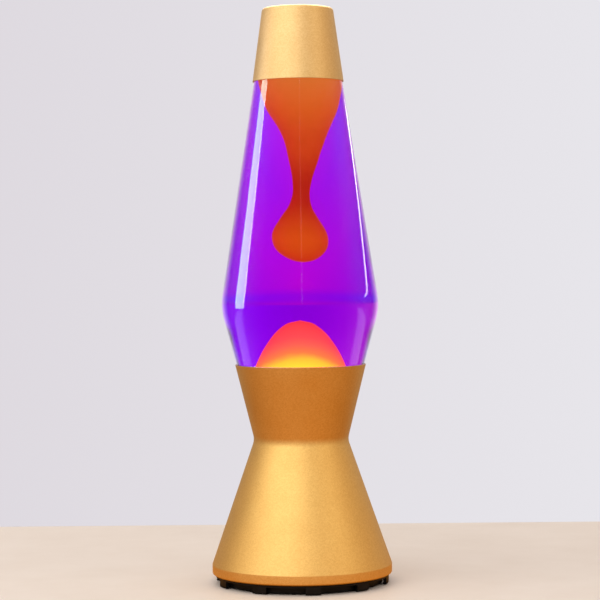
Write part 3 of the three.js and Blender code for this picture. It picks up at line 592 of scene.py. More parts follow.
gold = gold_finish("satin_gold", (0.79, 0.515, 0.165), (0.91, 0.64, 0.24))
# The cap's gold is a copy of the same finish, painted lighter to stand in for the whiter light the cap
# catches.
gold_painted_lighter = gold_finish("gold_painted_lighter", (0.78, 0.54, 0.235), (0.89, 0.665, 0.335))
bare_edge = textured(
    "bare_edge", (0.74, 0.60, 0.38), (0.95, 0.82, 0.58), 1.5, (0.2, 0.32), Metallic=1.0,
)
black_plastic = textured(
    "moulded_plastic", (0.003, 0.003, 0.003), (0.008, 0.007, 0.007), 6, (0.34, 0.5), 0.02, 0.6,
    Specular_IOR_Level=0.15,
)
rubber = textured("rubber", (0.010, 0.010, 0.010), (0.022, 0.021, 0.020), 3, (0.7, 0.9), 0.05, 0.5)
coil_steel = textured("coil_wire", (0.45, 0.45, 0.46), (0.62, 0.61, 0.60), 2, (0.22, 0.4), Metallic=1.0)
crown_steel = textured(
    "crown_steel", (0.60, 0.60, 0.60), (0.78, 0.78, 0.77), 4, (0.18, 0.34), 0.01, 0.8, Metallic=1.0,
)
liner_foam = textured("liner_foam", (0.62, 0.64, 0.66), (0.74, 0.76, 0.78), 0.8, (0.6, 0.8), 0.05, 0.5)
zinc = textured(
    "zinc_plate", (0.52, 0.51, 0.43), (0.72, 0.70, 0.60), 3, (0.28, 0.48), 0.01, 0.4, Metallic=1.0,
)
strip_steel = textured(
    "strip_steel", (0.42, 0.42, 0.43), (0.60, 0.60, 0.60), 5, (0.3, 0.5), 0.015, 0.5, Metallic=1.0,
)
brass = textured(
    "brass", (0.58, 0.36, 0.12), (0.76, 0.52, 0.20), 2.5, (0.2, 0.4), 0.01, 0.4, Metallic=1.0,
)
ceramic = textured("ceramic", (0.66, 0.63, 0.56), (0.80, 0.78, 0.72), 4, (0.3, 0.5), 0.03, 1.2)
mirror = textured("mirror_coat", (0.78, 0.78, 0.79), (0.88, 0.88, 0.88), 6, (0.08, 0.16), Metallic=1.0)
nylon = textured("nylon", (0.62, 0.62, 0.60), (0.72, 0.72, 0.70), 3, (0.35, 0.5), 0.02, 0.8)


def sleeve_finish(name, dark, light):
    return textured(name, dark, light, 2, (0.35, 0.5), 0.01, 0.6)


sleeve_brown = sleeve_finish("sleeve_brown", (0.07, 0.025, 0.008), (0.12, 0.045, 0.015))
sleeve_blue = sleeve_finish("sleeve_blue", (0.008, 0.055, 0.24), (0.015, 0.09, 0.36))
sleeve_green = sleeve_finish("sleeve_green", (0.05, 0.22, 0.02), (0.10, 0.34, 0.04))

GLASS_COLOUR = (0.985, 0.985, 1.0)
GLASS_IOR = 1.5
glass, _, _ = clear_glass("bottle_glass", GLASS_COLOUR, GLASS_IOR)
wet_glass, _, _ = clear_glass("wet_glass", GLASS_COLOUR, GLASS_IOR, mirrors=False)
capsule_glass, _, _ = clear_glass("capsule_glass", (1.0, 0.99, 0.97), GLASS_IOR, 0.05)

# The dye takes green light out strongly, red slightly and blue hardly at all.
LIQUID_IOR = 1.33
ABSORBED = (12.0, 64.0, 2.8)  # for each metre
liquid_tint, tint_tree, _ = clear_glass("violet_liquid", (1.0, 1.0, 1.0), LIQUID_IOR, mirrors=False)
density = max(ABSORBED)
kept_light = [1 - absorbed / density for absorbed in ABSORBED]
absorption = node(tint_tree, "VolumeAbsorption", {"Color": (*kept_light, 1), "Density": density})
output = tint_tree.nodes["Material Output"]
tint_tree.links.new(absorption.outputs["Volume"], output.inputs["Volume"])

# The wax's painted glow, standing in for the bulb's light shining up through it, as (height, colour): it
# is brightest low down, near the bulb.
COLUMN_PAINTED_GLOW = [
    (COLUMN_BOTTOM, (0.95, 0.60, 0.004)),
    (255, (0.97, 0.62, 0.004)),
    (268, (0.86, 0.46, 0.004)),
    (284, (0.70, 0.20, 0.004)),
    (297, (0.67, 0.19, 0.004)),
    (320, (0.80, 0.34, 0.006)),
    (352, (0.76, 0.26, 0.012)),
    (LIQUID_TOP, (0.68, 0.22, 0.035)),
]
column_wax = painted_glow_finish(
    "wax_column", (0.30, 0.06, 0.008), (0.36, 0.08, 0.012), COLUMN_PAINTED_GLOW,
    bottom=230, top=390, strength=1.2,
)
# The mound's painted glow as (height, colour): painted light from the bulb just below it.
MOUND_PAINTED_GLOW = [
    (128, (3.6, 3.3, 0.05)),
    (164, (3.5, 3.0, 0.05)),
    (171, (2.8, 2.7, 0.05)),
    (176, (2.2, 1.25, 0.07)),
    (182, (1.9, 0.95, 0.10)),
    (188, (1.8, 0.75, 0.10)),
    (200, (1.8, 1.0, 0.07)),
]
mound_wax = painted_glow_finish(
    "wax_mound", (0.30, 0.08, 0.012), (0.38, 0.10, 0.016), MOUND_PAINTED_GLOW,
    bottom=120, top=202, strength=3.6, sag=0.016,
)

# The lit bulb's front lens, with a fine dimpled pattern.
lit_lens, lens_tree, lens_shader = new_material(
    "lit_lens", Roughness=0.25, Emission_Color=(1.0, 0.66, 0.30, 1), Emission_Strength=2.2,
)
lens_pattern = grain(lens_tree, 1.6)
lens_colour = ramp(lens_tree, lens_pattern, [(0.3, (0.80, 0.74, 0.62)), (0.7, (0.95, 0.90, 0.80))])
lens_tree.links.new(lens_colour, lens_shader.inputs["Base Color"])
emboss(lens_tree, lens_shader, lens_pattern, 0.05)


# ---- Base shell ----
def base_shell():
    outer = [
        (LIP_RADIUS, BAND_BOTTOM),
        (BAND_RADIUS, BAND_BOTTOM, BAND_EDGE_FILLET),
        (BAND_RADIUS, BAND_TOP, BAND_EDGE_FILLET),
        (WAIST_RADIUS, WAIST_HEIGHT, WAIST_FILLET),
        (RIM_RADIUS, RIM_HEIGHT),
    ]
    outline = rounded(sheet_wall(outer, SHELL_WALL, EDGE_ROUNDING), closed=True)
    return mesh_from("base_shell", lathe(split_long(outline, 12), SIDES))


# The rim's cut edge is bare metal.
BARE_RIM = RIM_HEIGHT - 0.1
shell = piece("spun_shell", base_shell(), "base", "gold_metal", gold, "base_shell")
shell.data.materials.append(bare_edge)
for face in shell.data.polygons:
    if face.center.z > BARE_RIM * MM:
        face.material_index = 1


# ---- Foot plate ----
def foot_plate():
    """A round plate with a skirt inside, and a rim that slots cut into posts."""
    edge = 0.5
    plate = [
        (0, DECK_BOTTOM),
        (SKIRT_RADIUS - SKIRT_WALL, DECK_BOTTOM),
        (SKIRT_RADIUS - SKIRT_WALL, SKIRT_BOTTOM, edge),
        (SKIRT_RADIUS, SKIRT_BOTTOM, edge),
        (SKIRT_RADIUS, SLOT_TOP),
        (FOOT_RADIUS - FOOT_WALL, SLOT_TOP),
        (FOOT_RADIUS - FOOT_WALL, FOOT_BOTTOM, edge),
        (FOOT_RADIUS, FOOT_BOTTOM, edge),
        (FOOT_RADIUS, FOOT_TOP, edge),
        (DECK_RADIUS, FOOT_TOP),
        (DECK_RADIUS, DECK_TOP),
        (0, DECK_TOP),
    ]
    through = (FOOT_BOTTOM - 1, DECK_TOP + 1)
    pad_boss_bottom = PAD_HEIGHT + TOUCH_GAP
    screw_boss_bottom = pad_boss_bottom + 0.4
    boss_top = DECK_BOTTOM + 1
    bosses = [
        cylinder(PAD_RADIUS + BOSS_WALL, pad_boss_bottom, boss_top, on_circle(PAD_CIRCLE, angle))
        for angle in PAD_ANGLES
    ] + [
        cylinder(SCREW_BOSS_RADIUS, screw_boss_bottom, boss_top, on_circle(SCREW_CIRCLE, angle))
        for angle in PLATE_SCREW_ANGLES
    ]
    screw_places = [on_circle(SCREW_CIRCLE, angle) for angle in PLATE_SCREW_ANGLES]
    screw_places += [(0, BRACKET_FOOT_Y), (0, -BRACKET_FOOT_Y), (BLOCK_X, BLOCK_Y)]
    cuts = [cylinder(M3_HOLE, *through, place) for place in screw_places]
    for angle in DECK_VENT_ANGLES:
        ends = (angle - DECK_VENT_SPREAD, angle + DECK_VENT_SPREAD)
        cuts.append(prism(arc_slot(DECK_VENT_CIRCLE, DECK_VENT_HALF_WIDTH, *ends), *through))
    pitch = 360 / POST_COUNT
    behind_posts = (SKIRT_RADIUS + FOOT_RADIUS - FOOT_WALL) / 2
    for post in range(POST_COUNT):
        middle = -90 + POST_TURN + pitch * (post + 0.5)
        half = (pitch - POST_ANGLE) / 2
        outside = arc((0, 0), FOOT_RADIUS + 2, middle - half, middle + half)
        inside = arc((0, 0), behind_posts, middle + half, middle - half)
        cuts.append(prism(outside + inside, FOOT_BOTTOM - 1, SLOT_TOP))
    way_end = FOOT_RADIUS + 3
    half_way = CORD_WAY_WIDTH / 2
    cuts.append(block((-half_way, way_end - CORD_WAY_DEPTH, -1), (half_way, way_end, SLOT_TOP)))
    cuts.append(cylinder(GROMMET_HOLE, *through, (0, GROMMET_Y)))
    mesh = mesh_from("plate", lathe(rounded(plate), SIDES))
    mesh = combined(mesh, "UNION", together(bosses), use_self=True)
    return combined(mesh, "DIFFERENCE", together(cuts), use_self=True)


piece("foot", foot_plate(), "base", "black_plastic", black_plastic, "foot_plate")

PAD_HOLLOW = 0.25
for i, angle in enumerate(PAD_ANGLES):
    outline = [
        (0, PAD_HOLLOW),
        (PAD_RADIUS - 1.8, PAD_HOLLOW),
        (PAD_RADIUS - 1.5, 0),
        (PAD_RADIUS, 0, 0.5),
        (PAD_RADIUS, PAD_HEIGHT, 0.3),
        (0, PAD_HEIGHT),
    ]
    pad = lathe(rounded(outline), SMALL_SIDES, on_circle(PAD_CIRCLE, angle))
    piece(f"rubber_pad_{i + 1}", pad, "base", "black_rubber", rubber, f"foot_pad_{i + 1}")


def grommet():
    """A bush with a groove, which the plate's edge sits in."""
    groove = GROMMET_HOLE - TOUCH_GAP
    flange = GROMMET_HOLE + GROMMET_LIP
    low = DECK_BOTTOM - TOUCH_GAP
    corners = [
        (GROMMET_BORE, low - GROMMET_LIP, 0.5),
        (flange, low - GROMMET_LIP, 0.6),
        (flange, low, 0.3),
        (groove, low),
        (groove, ABOVE_DECK),
        (flange, ABOVE_DECK, 0.3),
        (flange, ABOVE_DECK + GROMMET_LIP, 0.6),
        (GROMMET_BORE, ABOVE_DECK + GROMMET_LIP, 0.5),
    ]
    return lathe(rounded(corners, closed=True), BUSH_SIDES, (0, GROMMET_Y))


piece("cord_bush", grommet(), "base", "black_rubber", rubber, "cord_grommet")


# ---- Lampholder ----
LEAD_HOLE = LEAD_RADIUS + 0.5


def lampholder():
    """A drum with two bent keyholes in its lid, each over a chamber where a pin's head turns."""
    drum = [
        (0, HOLDER_BOTTOM),
        (HOLDER_RADIUS, HOLDER_BOTTOM, 0.6),
        (HOLDER_RADIUS, HOLDER_TOP - 1.2, 0.8),
        (HOLDER_RADIUS - 1.2, HOLDER_TOP, 0.8),
        (0, HOLDER_TOP),
    ]
    lid_bottom = HOLDER_TOP - HOLDER_LID
    through_lid = (lid_bottom - 1, HOLDER_TOP + 1)
    cuts = []
    for start in (0, 180):
        end = start + PIN_TURN
        entry = on_circle(PIN_CIRCLE, end)
        lead_way = on_circle(LEAD_X, start)
        cuts += [
            prism(arc_slot(PIN_CIRCLE, KEYWAY_HEAD, start, end), CHAMBER_FLOOR, lid_bottom),
            prism(arc_slot(PIN_CIRCLE, KEYWAY_NECK, start, end), *through_lid),
            cylinder(KEYWAY_HEAD, *through_lid, entry),
            cylinder(LEAD_HOLE, HOLDER_BOTTOM - 1, CHAMBER_FLOOR + 1, lead_way),
        ]
    for y in (-HOLDER_SCREW_Y, HOLDER_SCREW_Y):
        cuts.append(cylinder(M3_HOLE, HOLDER_BOTTOM - 1, HOLDER_TOP + 1, (0, y)))
        cuts.append(cylinder(M3_HEAD + 0.1, HOLDER_TOP - HEAD_RECESS, HOLDER_TOP + 1, (0, y)))
    mesh = mesh_from("drum", lathe(rounded(drum), MEDIUM_SIDES))
    for cut in cuts:
        mesh = combined(mesh, "DIFFERENCE", cut)
    return mesh


piece("pin_holder", lampholder(), "base", "ceramic", ceramic, "lampholder")

# ---- Bulb ----
base_top = REFLECTOR_BOTTOM - TOUCH_GAP
bulb_base_outline = [
    (0, BULB_BASE_BOTTOM),
    (BULB_BASE_RADIUS - 1.4, BULB_BASE_BOTTOM, 1),
    (BULB_BASE_RADIUS, BULB_BASE_BOTTOM + 6, 6),
    (BULB_BASE_RADIUS, base_top - 2, 1.5),
    (BULB_BASE_RADIUS - 1.8, base_top, 0.6),
    (0, base_top),
]
bulb_base = lathe(rounded(bulb_base_outline), MEDIUM_SIDES)
piece("bulb_foot", bulb_base, "bulb", "ceramic", ceramic, "bulb_base")

pin_tip = CHAMBER_FLOOR + TOUCH_GAP + CONTACT_THICKNESS + TOUCH_GAP
pin_shoulder = HOLDER_TOP - HOLDER_LID - PIN_PLAY
pin_outline = [
    (0, pin_tip),
    (PIN_HEAD - 0.5, pin_tip, 0.3),
    (PIN_HEAD, pin_tip + 0.6, 0.3),
    (PIN_HEAD, pin_shoulder, 0.3),
    (PIN_NECK, pin_shoulder),
    (PIN_NECK, BULB_BASE_BOTTOM - TOUCH_GAP),
    (0, BULB_BASE_BOTTOM - TOUCH_GAP),
]
for i, start in enumerate((0, 180)):
    pin = lathe(rounded(pin_outline), SMALL_SIDES, on_circle(PIN_CIRCLE, start))
    piece(f"contact_pin_{i + 1}", pin, "bulb", "brass", brass, f"bulb_pin_{i + 1}")


def bowl(inset, floor):
    """A parabola from the reflector's stem to its rim."""
    steps = 28
    rise = REFLECTOR_TOP - REFLECTOR_BAND - floor
    spread = REFLECTOR_RADIUS - REFLECTOR_STEM
    shares = [(i / steps) ** 2 for i in range(steps + 1)]
    return [(REFLECTOR_STEM + spread * math.sqrt(share) - inset, floor + rise * share) for share in shares]


reflector_outline = [
    (0, REFLECTOR_BOTTOM),
    *bowl(0, REFLECTOR_BOTTOM),
    (REFLECTOR_RADIUS, REFLECTOR_TOP),
    (REFLECTOR_RADIUS - REFLECTOR_WALL, REFLECTOR_TOP),
    *reversed(bowl(REFLECTOR_WALL, REFLECTOR_BOTTOM + REFLECTOR_WALL)),
    (0, REFLECTOR_BOTTOM + REFLECTOR_WALL),
]
reflector = lathe(reflector_outline, FINE_SIDES)
piece("mirror_bowl", reflector, "bulb", "mirror_glass", mirror, "bulb_reflector")

capsule_bottom = REFLECTOR_BOTTOM + REFLECTOR_WALL + TOUCH_GAP
capsule_outline = [
    (0, capsule_bottom),
    (CAPSULE_RADIUS, capsule_bottom, 0.6),
    (CAPSULE_RADIUS, CAPSULE_TOP - 5, 3),
    (0, CAPSULE_TOP),
]
capsule = lathe(rounded(capsule_outline), SMALL_SIDES)
piece("filament_capsule", capsule, "bulb", "lens_glass", capsule_glass, "bulb_capsule")

lens_radius = REFLECTOR_RADIUS - REFLECTOR_WALL - TOUCH_GAP
lens_top = REFLECTOR_TOP - 0.2
LENS_EDGE_DROP = 0.6
LENS_STEPS = 12


def lens_height(share):
    """The lens is highest in the middle and curves down to its edge."""
    return lens_top - LENS_EDGE_DROP * share**2


lens_outline = [
    (0, lens_top - 3.2),
    (lens_radius, lens_top - 2.4),
    *[(lens_radius * i / LENS_STEPS, lens_height(i / LENS_STEPS)) for i in range(LENS_STEPS, -1, -1)],
]
piece("front_lens", lathe(lens_outline, FINE_SIDES), "bulb", "lens_glass", lit_lens, "bulb_lens")


# ---- Leads ----
def lead(name, points, slot, material):
    """An insulated wire along a smooth line through its points."""
    sleeve = tube(smooth_line(points, 10), LEAD_RADIUS, LEAD_SIDES)
    piece(name.replace("lead", "sleeve"), sleeve, "base", slot, material, name)


lead_end = BLOCK_X + BLOCK_LENGTH / 2 + TOUCH_GAP


def from_block(way):
    y = BLOCK_Y + way * WAY_PITCH
    return [(lead_end, y, WAY_Z), (lead_end + 4, y, WAY_Z)]


def into_holder(x):
    return [(x, 0, HOLDER_BOTTOM), (x, 0, CHAMBER_FLOOR - TOUCH_GAP)]


live_route = [
    *from_block(-1),
    (-LEAD_X - 3.4, 1.4, WAY_Z + 1),
    (-LEAD_X - 0.6, 0, WAY_Z + 5.5),
    *into_holder(-LEAD_X),
]
neutral_route = [
    *from_block(0),
    (-5, 9, WAY_Z - 1),
    (LEAD_X - 0.6, 5, WAY_Z),
    (LEAD_X + 0.8, 0.6, WAY_Z + 5),
    *into_holder(LEAD_X),
]
tongue_x, tongue_y = on_circle(SCREW_CIRCLE - TAG_TONGUE - 2 * LEAD_RADIUS, PLATE_SCREW_ANGLES[0])
tongue_z = ABOVE_DECK + STRIP + TOUCH_GAP + 0.4
earth_route = [
    *from_block(1),
    (-2, 29, DECK_TOP + 4),
    (18, 31, DECK_TOP + 3),
    (tongue_x - 6, tongue_y - 2, tongue_z),
    (tongue_x, tongue_y, tongue_z),
]
lead("lead_live", live_route, "sleeve_brown", sleeve_brown)
lead("lead_neutral", neutral_route, "sleeve_blue", sleeve_blue)
lead("lead_earth", earth_route, "sleeve_green", sleeve_green)


# ---- Bottle ----
def lower_radius(z):
    return BOTTLE_BOTTOM_RADIUS + (z - BOTTLE_BOTTOM) * LOWER_TAPER


def upper_radius(z):
    return SHOULDER_RADIUS - (z - SHOULDER_HEIGHT) * UPPER_TAPER


def inside_corners(gap, top):
    """The inside of the glass up to a height on the upper cone, drawn in by a gap."""
    inset = GLASS_WALL + gap
    return [
        (0, BOTTLE_FLOOR + gap),
        (lower_radius(BOTTLE_FLOOR) - inset, BOTTLE_FLOOR + gap, 6),
        (SHOULDER_RADIUS - inset, SHOULDER_HEIGHT, SHOULDER_FILLET),
        (upper_radius(top) - inset, top),
    ]


def bottle():
    outside = [
        (0, BOTTLE_BOTTOM + KICK_HEIGHT),
        (KICK_RADIUS, BOTTLE_BOTTOM + KICK_HEIGHT, 2),
        (KICK_RADIUS + 5, BOTTLE_BOTTOM, 2),
        (BOTTLE_BOTTOM_RADIUS, BOTTLE_BOTTOM, 4),
        (SHOULDER_RADIUS, SHOULDER_HEIGHT, SHOULDER_FILLET),
        (upper_radius(TURN_IN_HEIGHT), TURN_IN_HEIGHT, 8),
        (NECK_RADIUS, NECK_BASE, 4),
        (NECK_RADIUS, MOUTH_HEIGHT - 5.5, 0.5),
        (NECK_RADIUS + NECK_BEAD, MOUTH_HEIGHT - 4.5, 0.5),
        (NECK_RADIUS + NECK_BEAD, MOUTH_HEIGHT - 1.8, 1),
        (NECK_RADIUS - 1, MOUTH_HEIGHT, 0.5),
        (NECK_BORE, MOUTH_HEIGHT, 0.5),
    ]
    floor, corner, shoulder, top = inside_corners(0, TURN_IN_HEIGHT - 2)
    inside = [floor, corner, shoulder, (*top, 7), (NECK_BORE, NECK_BASE - 1, 5)]
    outline = rounded([*outside, *reversed(inside)])
    return mesh_from("bottle", lathe(split_long(outline, 5), SIDES))


# The glass has a faint ripple, but not in its neck, where the crown's seal lies.
NECK_REGION = NECK_RADIUS + 2.4
bottle_mesh = rippled(bottle(), depth=0.002, reach=30, spared=lambda place: place.xy.length < NECK_REGION)
bottle_glass = piece("bottle", bottle_mesh, "bottle", "bottle_glass", glass, "bottle_glass")
bottle_mesh.materials.append(wet_glass)  # for the inner faces that the liquid wets
for face in bottle_mesh.polygons:
    inwards = face.normal.xy.dot(face.center.xy) < 0
    if face.center.z < LIQUID_TOP * MM and (inwards or face.normal.z > 0.9):
        face.material_index = 1


def liquid():
    corners = [*inside_corners(-WETTED, LIQUID_TOP), (0, LIQUID_TOP)]
    return lathe(split_long(rounded(corners), 5), SIDES)


tinted_liquid = piece("tinted_liquid", liquid(), "bottle", "violet_liquid", liquid_tint, "liquid")

# ---- Wax ----
# Each point down the column is (radius, height, how far its middle leans towards +X).
COLUMN_POINTS = [
    (25.4, LIQUID_TOP, 1.2),
    (22.9, 368, 1.7),
    (19.6, 351.8, 2.2),
    (12.8, 333.8, 3.2),
    (8.5, 315.8, 2.8),
    (5.4, 297.8, 1.7),
    (4.8, 288.8, 1.2),
    (6.5, 279.8, 0.5),
    (10.7, 270.8, -0.2),
    (14.9, 261.8, -0.1),
    (15.9, 255, 0.4),
    (14.6, 248.3, 1),
    (10.6, 242.8, 1.6),
    (5.6, 239.3, 1.9),
    (0, COLUMN_BOTTOM, 2),
]
column_line = [tuple(point) for point in reversed(smooth_line(COLUMN_POINTS, 8))]
column_shape = lathe([*column_line, (0, LIQUID_TOP, COLUMN_POINTS[0][2])], FINE_SIDES)
column_mesh = mesh_from("column", column_shape)
column_mesh = rippled(column_mesh, depth=0.35, reach=14, spared=lambda place: place.z > LIQUID_TOP - 1)
piece("hanging_wax", column_mesh, "bottle", "wax", column_wax, "wax_column")

# Each point up the mound is (radius, height).
MOUND_POINTS = [
    (30.9, MOUND_FOOT + 3.2),
    (30.8, 145),
    (27.8, 158),
    (24.2, 170),
    (19.2, 182.8),
    (13.9, 192),
    (7.2, 198.3),
    (0, MOUND_TOP),
]


def mound():
    """A rounded hill of wax with a trench under it, open downwards, where the coil lies."""
    reach = COIL_RADIUS + COIL_WIRE + 0.5
    eaves = BOTTLE_FLOOR + 2 * reach - 1.4
    trench = [
        (COIL_CIRCLE - reach, MOUND_FOOT),
        (COIL_CIRCLE - reach, eaves, 1.5),
        (COIL_CIRCLE, eaves + 1.8, 2),
        (COIL_CIRCLE + reach, eaves, 1.5),
        (COIL_CIRCLE + reach, MOUND_FOOT),
        (COIL_CIRCLE + reach + 0.6, MOUND_FOOT),
    ]
    flanks = [tuple(point.xy) for point in smooth_line([(*p, 0) for p in MOUND_POINTS], 6)]
    outline = [(0, MOUND_FOOT), *rounded(trench), *flanks]
    return mesh_from("mound", lathe(outline, FINE_SIDES))


MOUND_STILL = 140  # below this the mound has no ripple, because the coil lies in it
mound_mesh = rippled(mound(), depth=0.35, reach=16, spared=lambda place: place.z < MOUND_STILL)
piece("rising_wax", mound_mesh, "bottle", "wax", mound_wax, "wax_mound")


def coil_ring():
    """A closed ring of coiled wire that lies on the bottle's floor."""
    steps = COIL_TURNS * 18
    middle = BOTTLE_FLOOR + TOUCH_GAP + COIL_RADIUS + COIL_WIRE
    line = []
    for i in range(steps):
        around = 360 * i / steps
        twist = math.radians(around * COIL_TURNS)
        x, y = on_circle(COIL_CIRCLE + COIL_RADIUS * math.cos(twist), around)
        line.append(Vector((x, y, middle + COIL_RADIUS * math.sin(twist))))
    return tube(line, COIL_WIRE, COIL_WIRE_SIDES, closed=True)


piece("heat_ring", coil_ring(), "bottle", "coil_steel", coil_steel, "heat_coil")


# ---- Crown cap and its liner ----
def crown_cap():
    """A pressed cup whose skirt is bent into flutes, deeper towards its edge."""
    outer = [
        (NECK_RADIUS + 2.4, CROWN_TOP - CROWN_HEIGHT),
        (NECK_RADIUS + 1.9, CROWN_TOP - 4, 3),
        (NECK_RADIUS + 1.2, CROWN_TOP - 1.6, 2),
        (NECK_RADIUS, CROWN_TOP - 0.3, 1),
        (NECK_RADIUS - 1.6, CROWN_TOP, 2),
        (0, CROWN_TOP),
    ]
    inner = offset(outer, CROWN_SHEET)
    inner[-1] = (0, inner[-1][1])
    outline = [*rounded(outer), *reversed(rounded(inner))]
    vertices, faces = lathe(list(reversed(outline)), CROWN_FLUTES * 10)
    fluted = []
    for x, y, z in vertices:
        depth = min(1, max(0, (CROWN_TOP - 1.5 - z) / 4))
        wave = (1 + math.cos(math.atan2(x, -y) * CROWN_FLUTES)) / 2
        flare = 1 + CROWN_FLUTE_DEPTH * depth * wave
        fluted.append((x * flare, y * flare, z))
    return fluted, faces


piece("crown", crown_cap(), "bottle", "crown_steel", crown_steel, "crown_cap")
liner_outline = [
    (0, LINER_BOTTOM),
    (LINER_RADIUS, LINER_BOTTOM, 0.2),
    (LINER_RADIUS, LINER_TOP, 0.2),
    (0, LINER_TOP),
]
liner = lathe(rounded(liner_outline), MEDIUM_SIDES)
piece("crown_seal", liner, "bottle", "liner", liner_foam, "crown_liner")


# ---- Cap ----
def cap():
    outer = [
        (CAP_BOTTOM_RADIUS, CAP_BOTTOM),
        (CAP_TOP_RADIUS, LAMP_HEIGHT, CAP_FILLET),
        (0, LAMP_HEIGHT),
    ]
    inner = offset(outer, CAP_WALL)
    inner[-1] = (0, inner[-1][1])
    bare_edges = [(*inner[0][:2], EDGE_ROUNDING), (*outer[0], EDGE_ROUNDING)]
    corners = [inner[2], inner[1], *bare_edges, *outer[1:]]
    return lathe(split_long(rounded(corners), 12), SIDES)


# The cap wears the copy of the gold painted lighter, for the whiter light it catches.
top_cap = piece("top_cap", cap(), "cap", "gold_metal", gold_painted_lighter, "cap_shell")

# ---- CAD nodes that stay: all are zinc plated, apart from these ----
KEPT_FINISHES = {
    "lampholder_bracket": strip_steel,
    "lampholder_contact": brass,
    "terminal_barrel": brass,
    "terminal_block": nylon,
}
replaced = {name for made in bpy.data.objects for name in made.get("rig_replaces", [])}
for name, kept in frame["nodes"].items():
    if name in replaced:
        continue
    finish = KEPT_FINISHES.get(name.rstrip("_0123456789"), zinc)
    for material_slot in kept.material_slots:
        material_slot.material = finish

# ---- Stage: a table and a backdrop that look plain and pale, with painted light and reflections for other rays, soft lights and the camera ----
scene = bpy.context.scene
scene.view_settings.view_transform = "Standard"

FLOOR_HALF_WIDTH = 2200
FLOOR_FRONT = -2200
FLOOR_BACK = 330
FLOOR_THICKNESS = 20

# Painted reflection: the metal mirrors the table as a painted glow, with a painted shadow dark under the
# lamp's edge, and dimmer again far away.
WARM_LIGHT = (0.67, 0.25, 0.03, 1)
WARM_STRENGTH = 1.4
NEAR_THE_LAMP = (0.065, 0.205)  # metres from the lamp's axis
PAINTED_SHADOW_NEAR_TO_FAR = [
    (0, (0.02, 0.02, 0.02)),
    (0.08, (0.97, 0.97, 0.97)),
    (0.35, (1, 1, 1)),
    (1, (0.66, 0.66, 0.66)),
]
# Painted light: what the table looks like through the liquid, from left to right behind the lamp, is
# painted colour.
UNDER_HALF_WIDTH = 0.12
UNDER_ACROSS = [(0, (1.0, 0.95, 0.45)), (0.5, (0.62, 0.42, 0.5)), (1, (0.62, 0.5, 0.48))]
# Painted reflection of the table, which only the bottle's sharp mirroring shows.
PAINTED_TABLE_REFLECTION = (0.85, 0.75, 1.0, 1)


def table_top():
    """Pale to the eye. Metal mirrors it as a painted warm wood with a painted shadow near the lamp, the
    liquid is seen against it as painted bright coloured light, and the bottle mirrors only a painted
    reflection of its far part."""
    material, tree, shader = new_material("table_top", Roughness=0.5)
    pattern = grain(tree, 60, detail=5)
    colour = ramp(tree, pattern, [(0.3, (0.80, 0.70, 0.62)), (0.7, (0.84, 0.745, 0.67))])
    tree.links.new(colour, shader.inputs["Base Color"])
    path = node(tree, "LightPath").outputs
    place = object_place(tree)
    rightwards, rearwards, _ = node(tree, "SeparateXYZ", {"Vector": place}).outputs

    # Painted shadow and painted light on what the metal mirrors: dark near the lamp, brighter in front.
    from_lamp = node(tree, "VectorMath", {0: place}, operation="LENGTH").outputs["Value"]
    painted_shade_by_distance = ramp(tree, ranged(tree, from_lamp, 0, 1, *NEAR_THE_LAMP), PAINTED_SHADOW_NEAR_TO_FAR)
    painted_front_light = ranged(tree, rearwards, WARM_STRENGTH, 0.66 * WARM_STRENGTH, -0.25, 0.05)
    shade = computed(tree, "MULTIPLY", painted_shade_by_distance, painted_front_light)
    warm = node(tree, "Emission", {"Color": WARM_LIGHT, "Strength": shade}).outputs[0]

    # Painted light: what the liquid shows of the table is painted colour, brighter behind the lamp.
    sidewards = ranged(tree, rightwards, 0, 1, -UNDER_HALF_WIDTH, UNDER_HALF_WIDTH)
    painted_through_colour = ramp(tree, sidewards, UNDER_ACROSS)
    behind_lamp = ranged(tree, rearwards, 1.2, 2.6, -0.1, -0.03)
    clear = node(tree, "Emission", {"Color": painted_through_colour, "Strength": behind_lamp}).outputs[0]

    # Painted reflection: the bottle mirrors a painted glint of the table's far part only.
    far_part = ranged(tree, rearwards, 0, 1, 0.03, 0.1)
    glint = node(tree, "Emission", {"Color": PAINTED_TABLE_REFLECTION, "Strength": far_part}).outputs[0]

    shown = mixed(tree, path["Is Glossy Ray"], shader.outputs[0], warm)
    shown = mixed(tree, path["Is Singular Ray"], shown, glint)
    shown = mixed(tree, path["Is Transmission Ray"], shown, clear)
    tree.links.new(shown, tree.nodes["Material Output"].inputs["Surface"])
    return material


floor_low = (-FLOOR_HALF_WIDTH, FLOOR_FRONT, -FLOOR_THICKNESS)
floor_mesh = mesh_from("table", block(floor_low, (FLOOR_HALF_WIDTH, FLOOR_BACK, 0)))
floor = bpy.data.objects.new("table", floor_mesh)
scene.collection.objects.link(floor)
floor_mesh.materials.append(table_top())

# The backdrop is a world. Its directions are numbers from -1 to 1: x rightwards, y rearwards, z upwards.
# The wall the camera sees is painted a little lighter to the right, as light falls on it.
WALL_ACROSS = [(0, (0.735, 0.70, 0.745)), (1, (0.80, 0.785, 0.825))]
WALL_HALF_WIDTH = 0.15
STUDIO_TO_FRONT = [(0, (0.48, 0.41, 0.38)), (0.5, (0.54, 0.39, 0.25)), (1, (0.68, 0.58, 0.47))]
# Painted reflection: only sharp mirroring sees this, dark in front and bright behind.
MIRRORED_REARWARDS = [(0.7, (0.02, 0.02, 0.022)), (0.92, (0.95, 0.85, 1.1))]
SOFT_LIGHT = (0.86, 0.83, 0.81, 1)

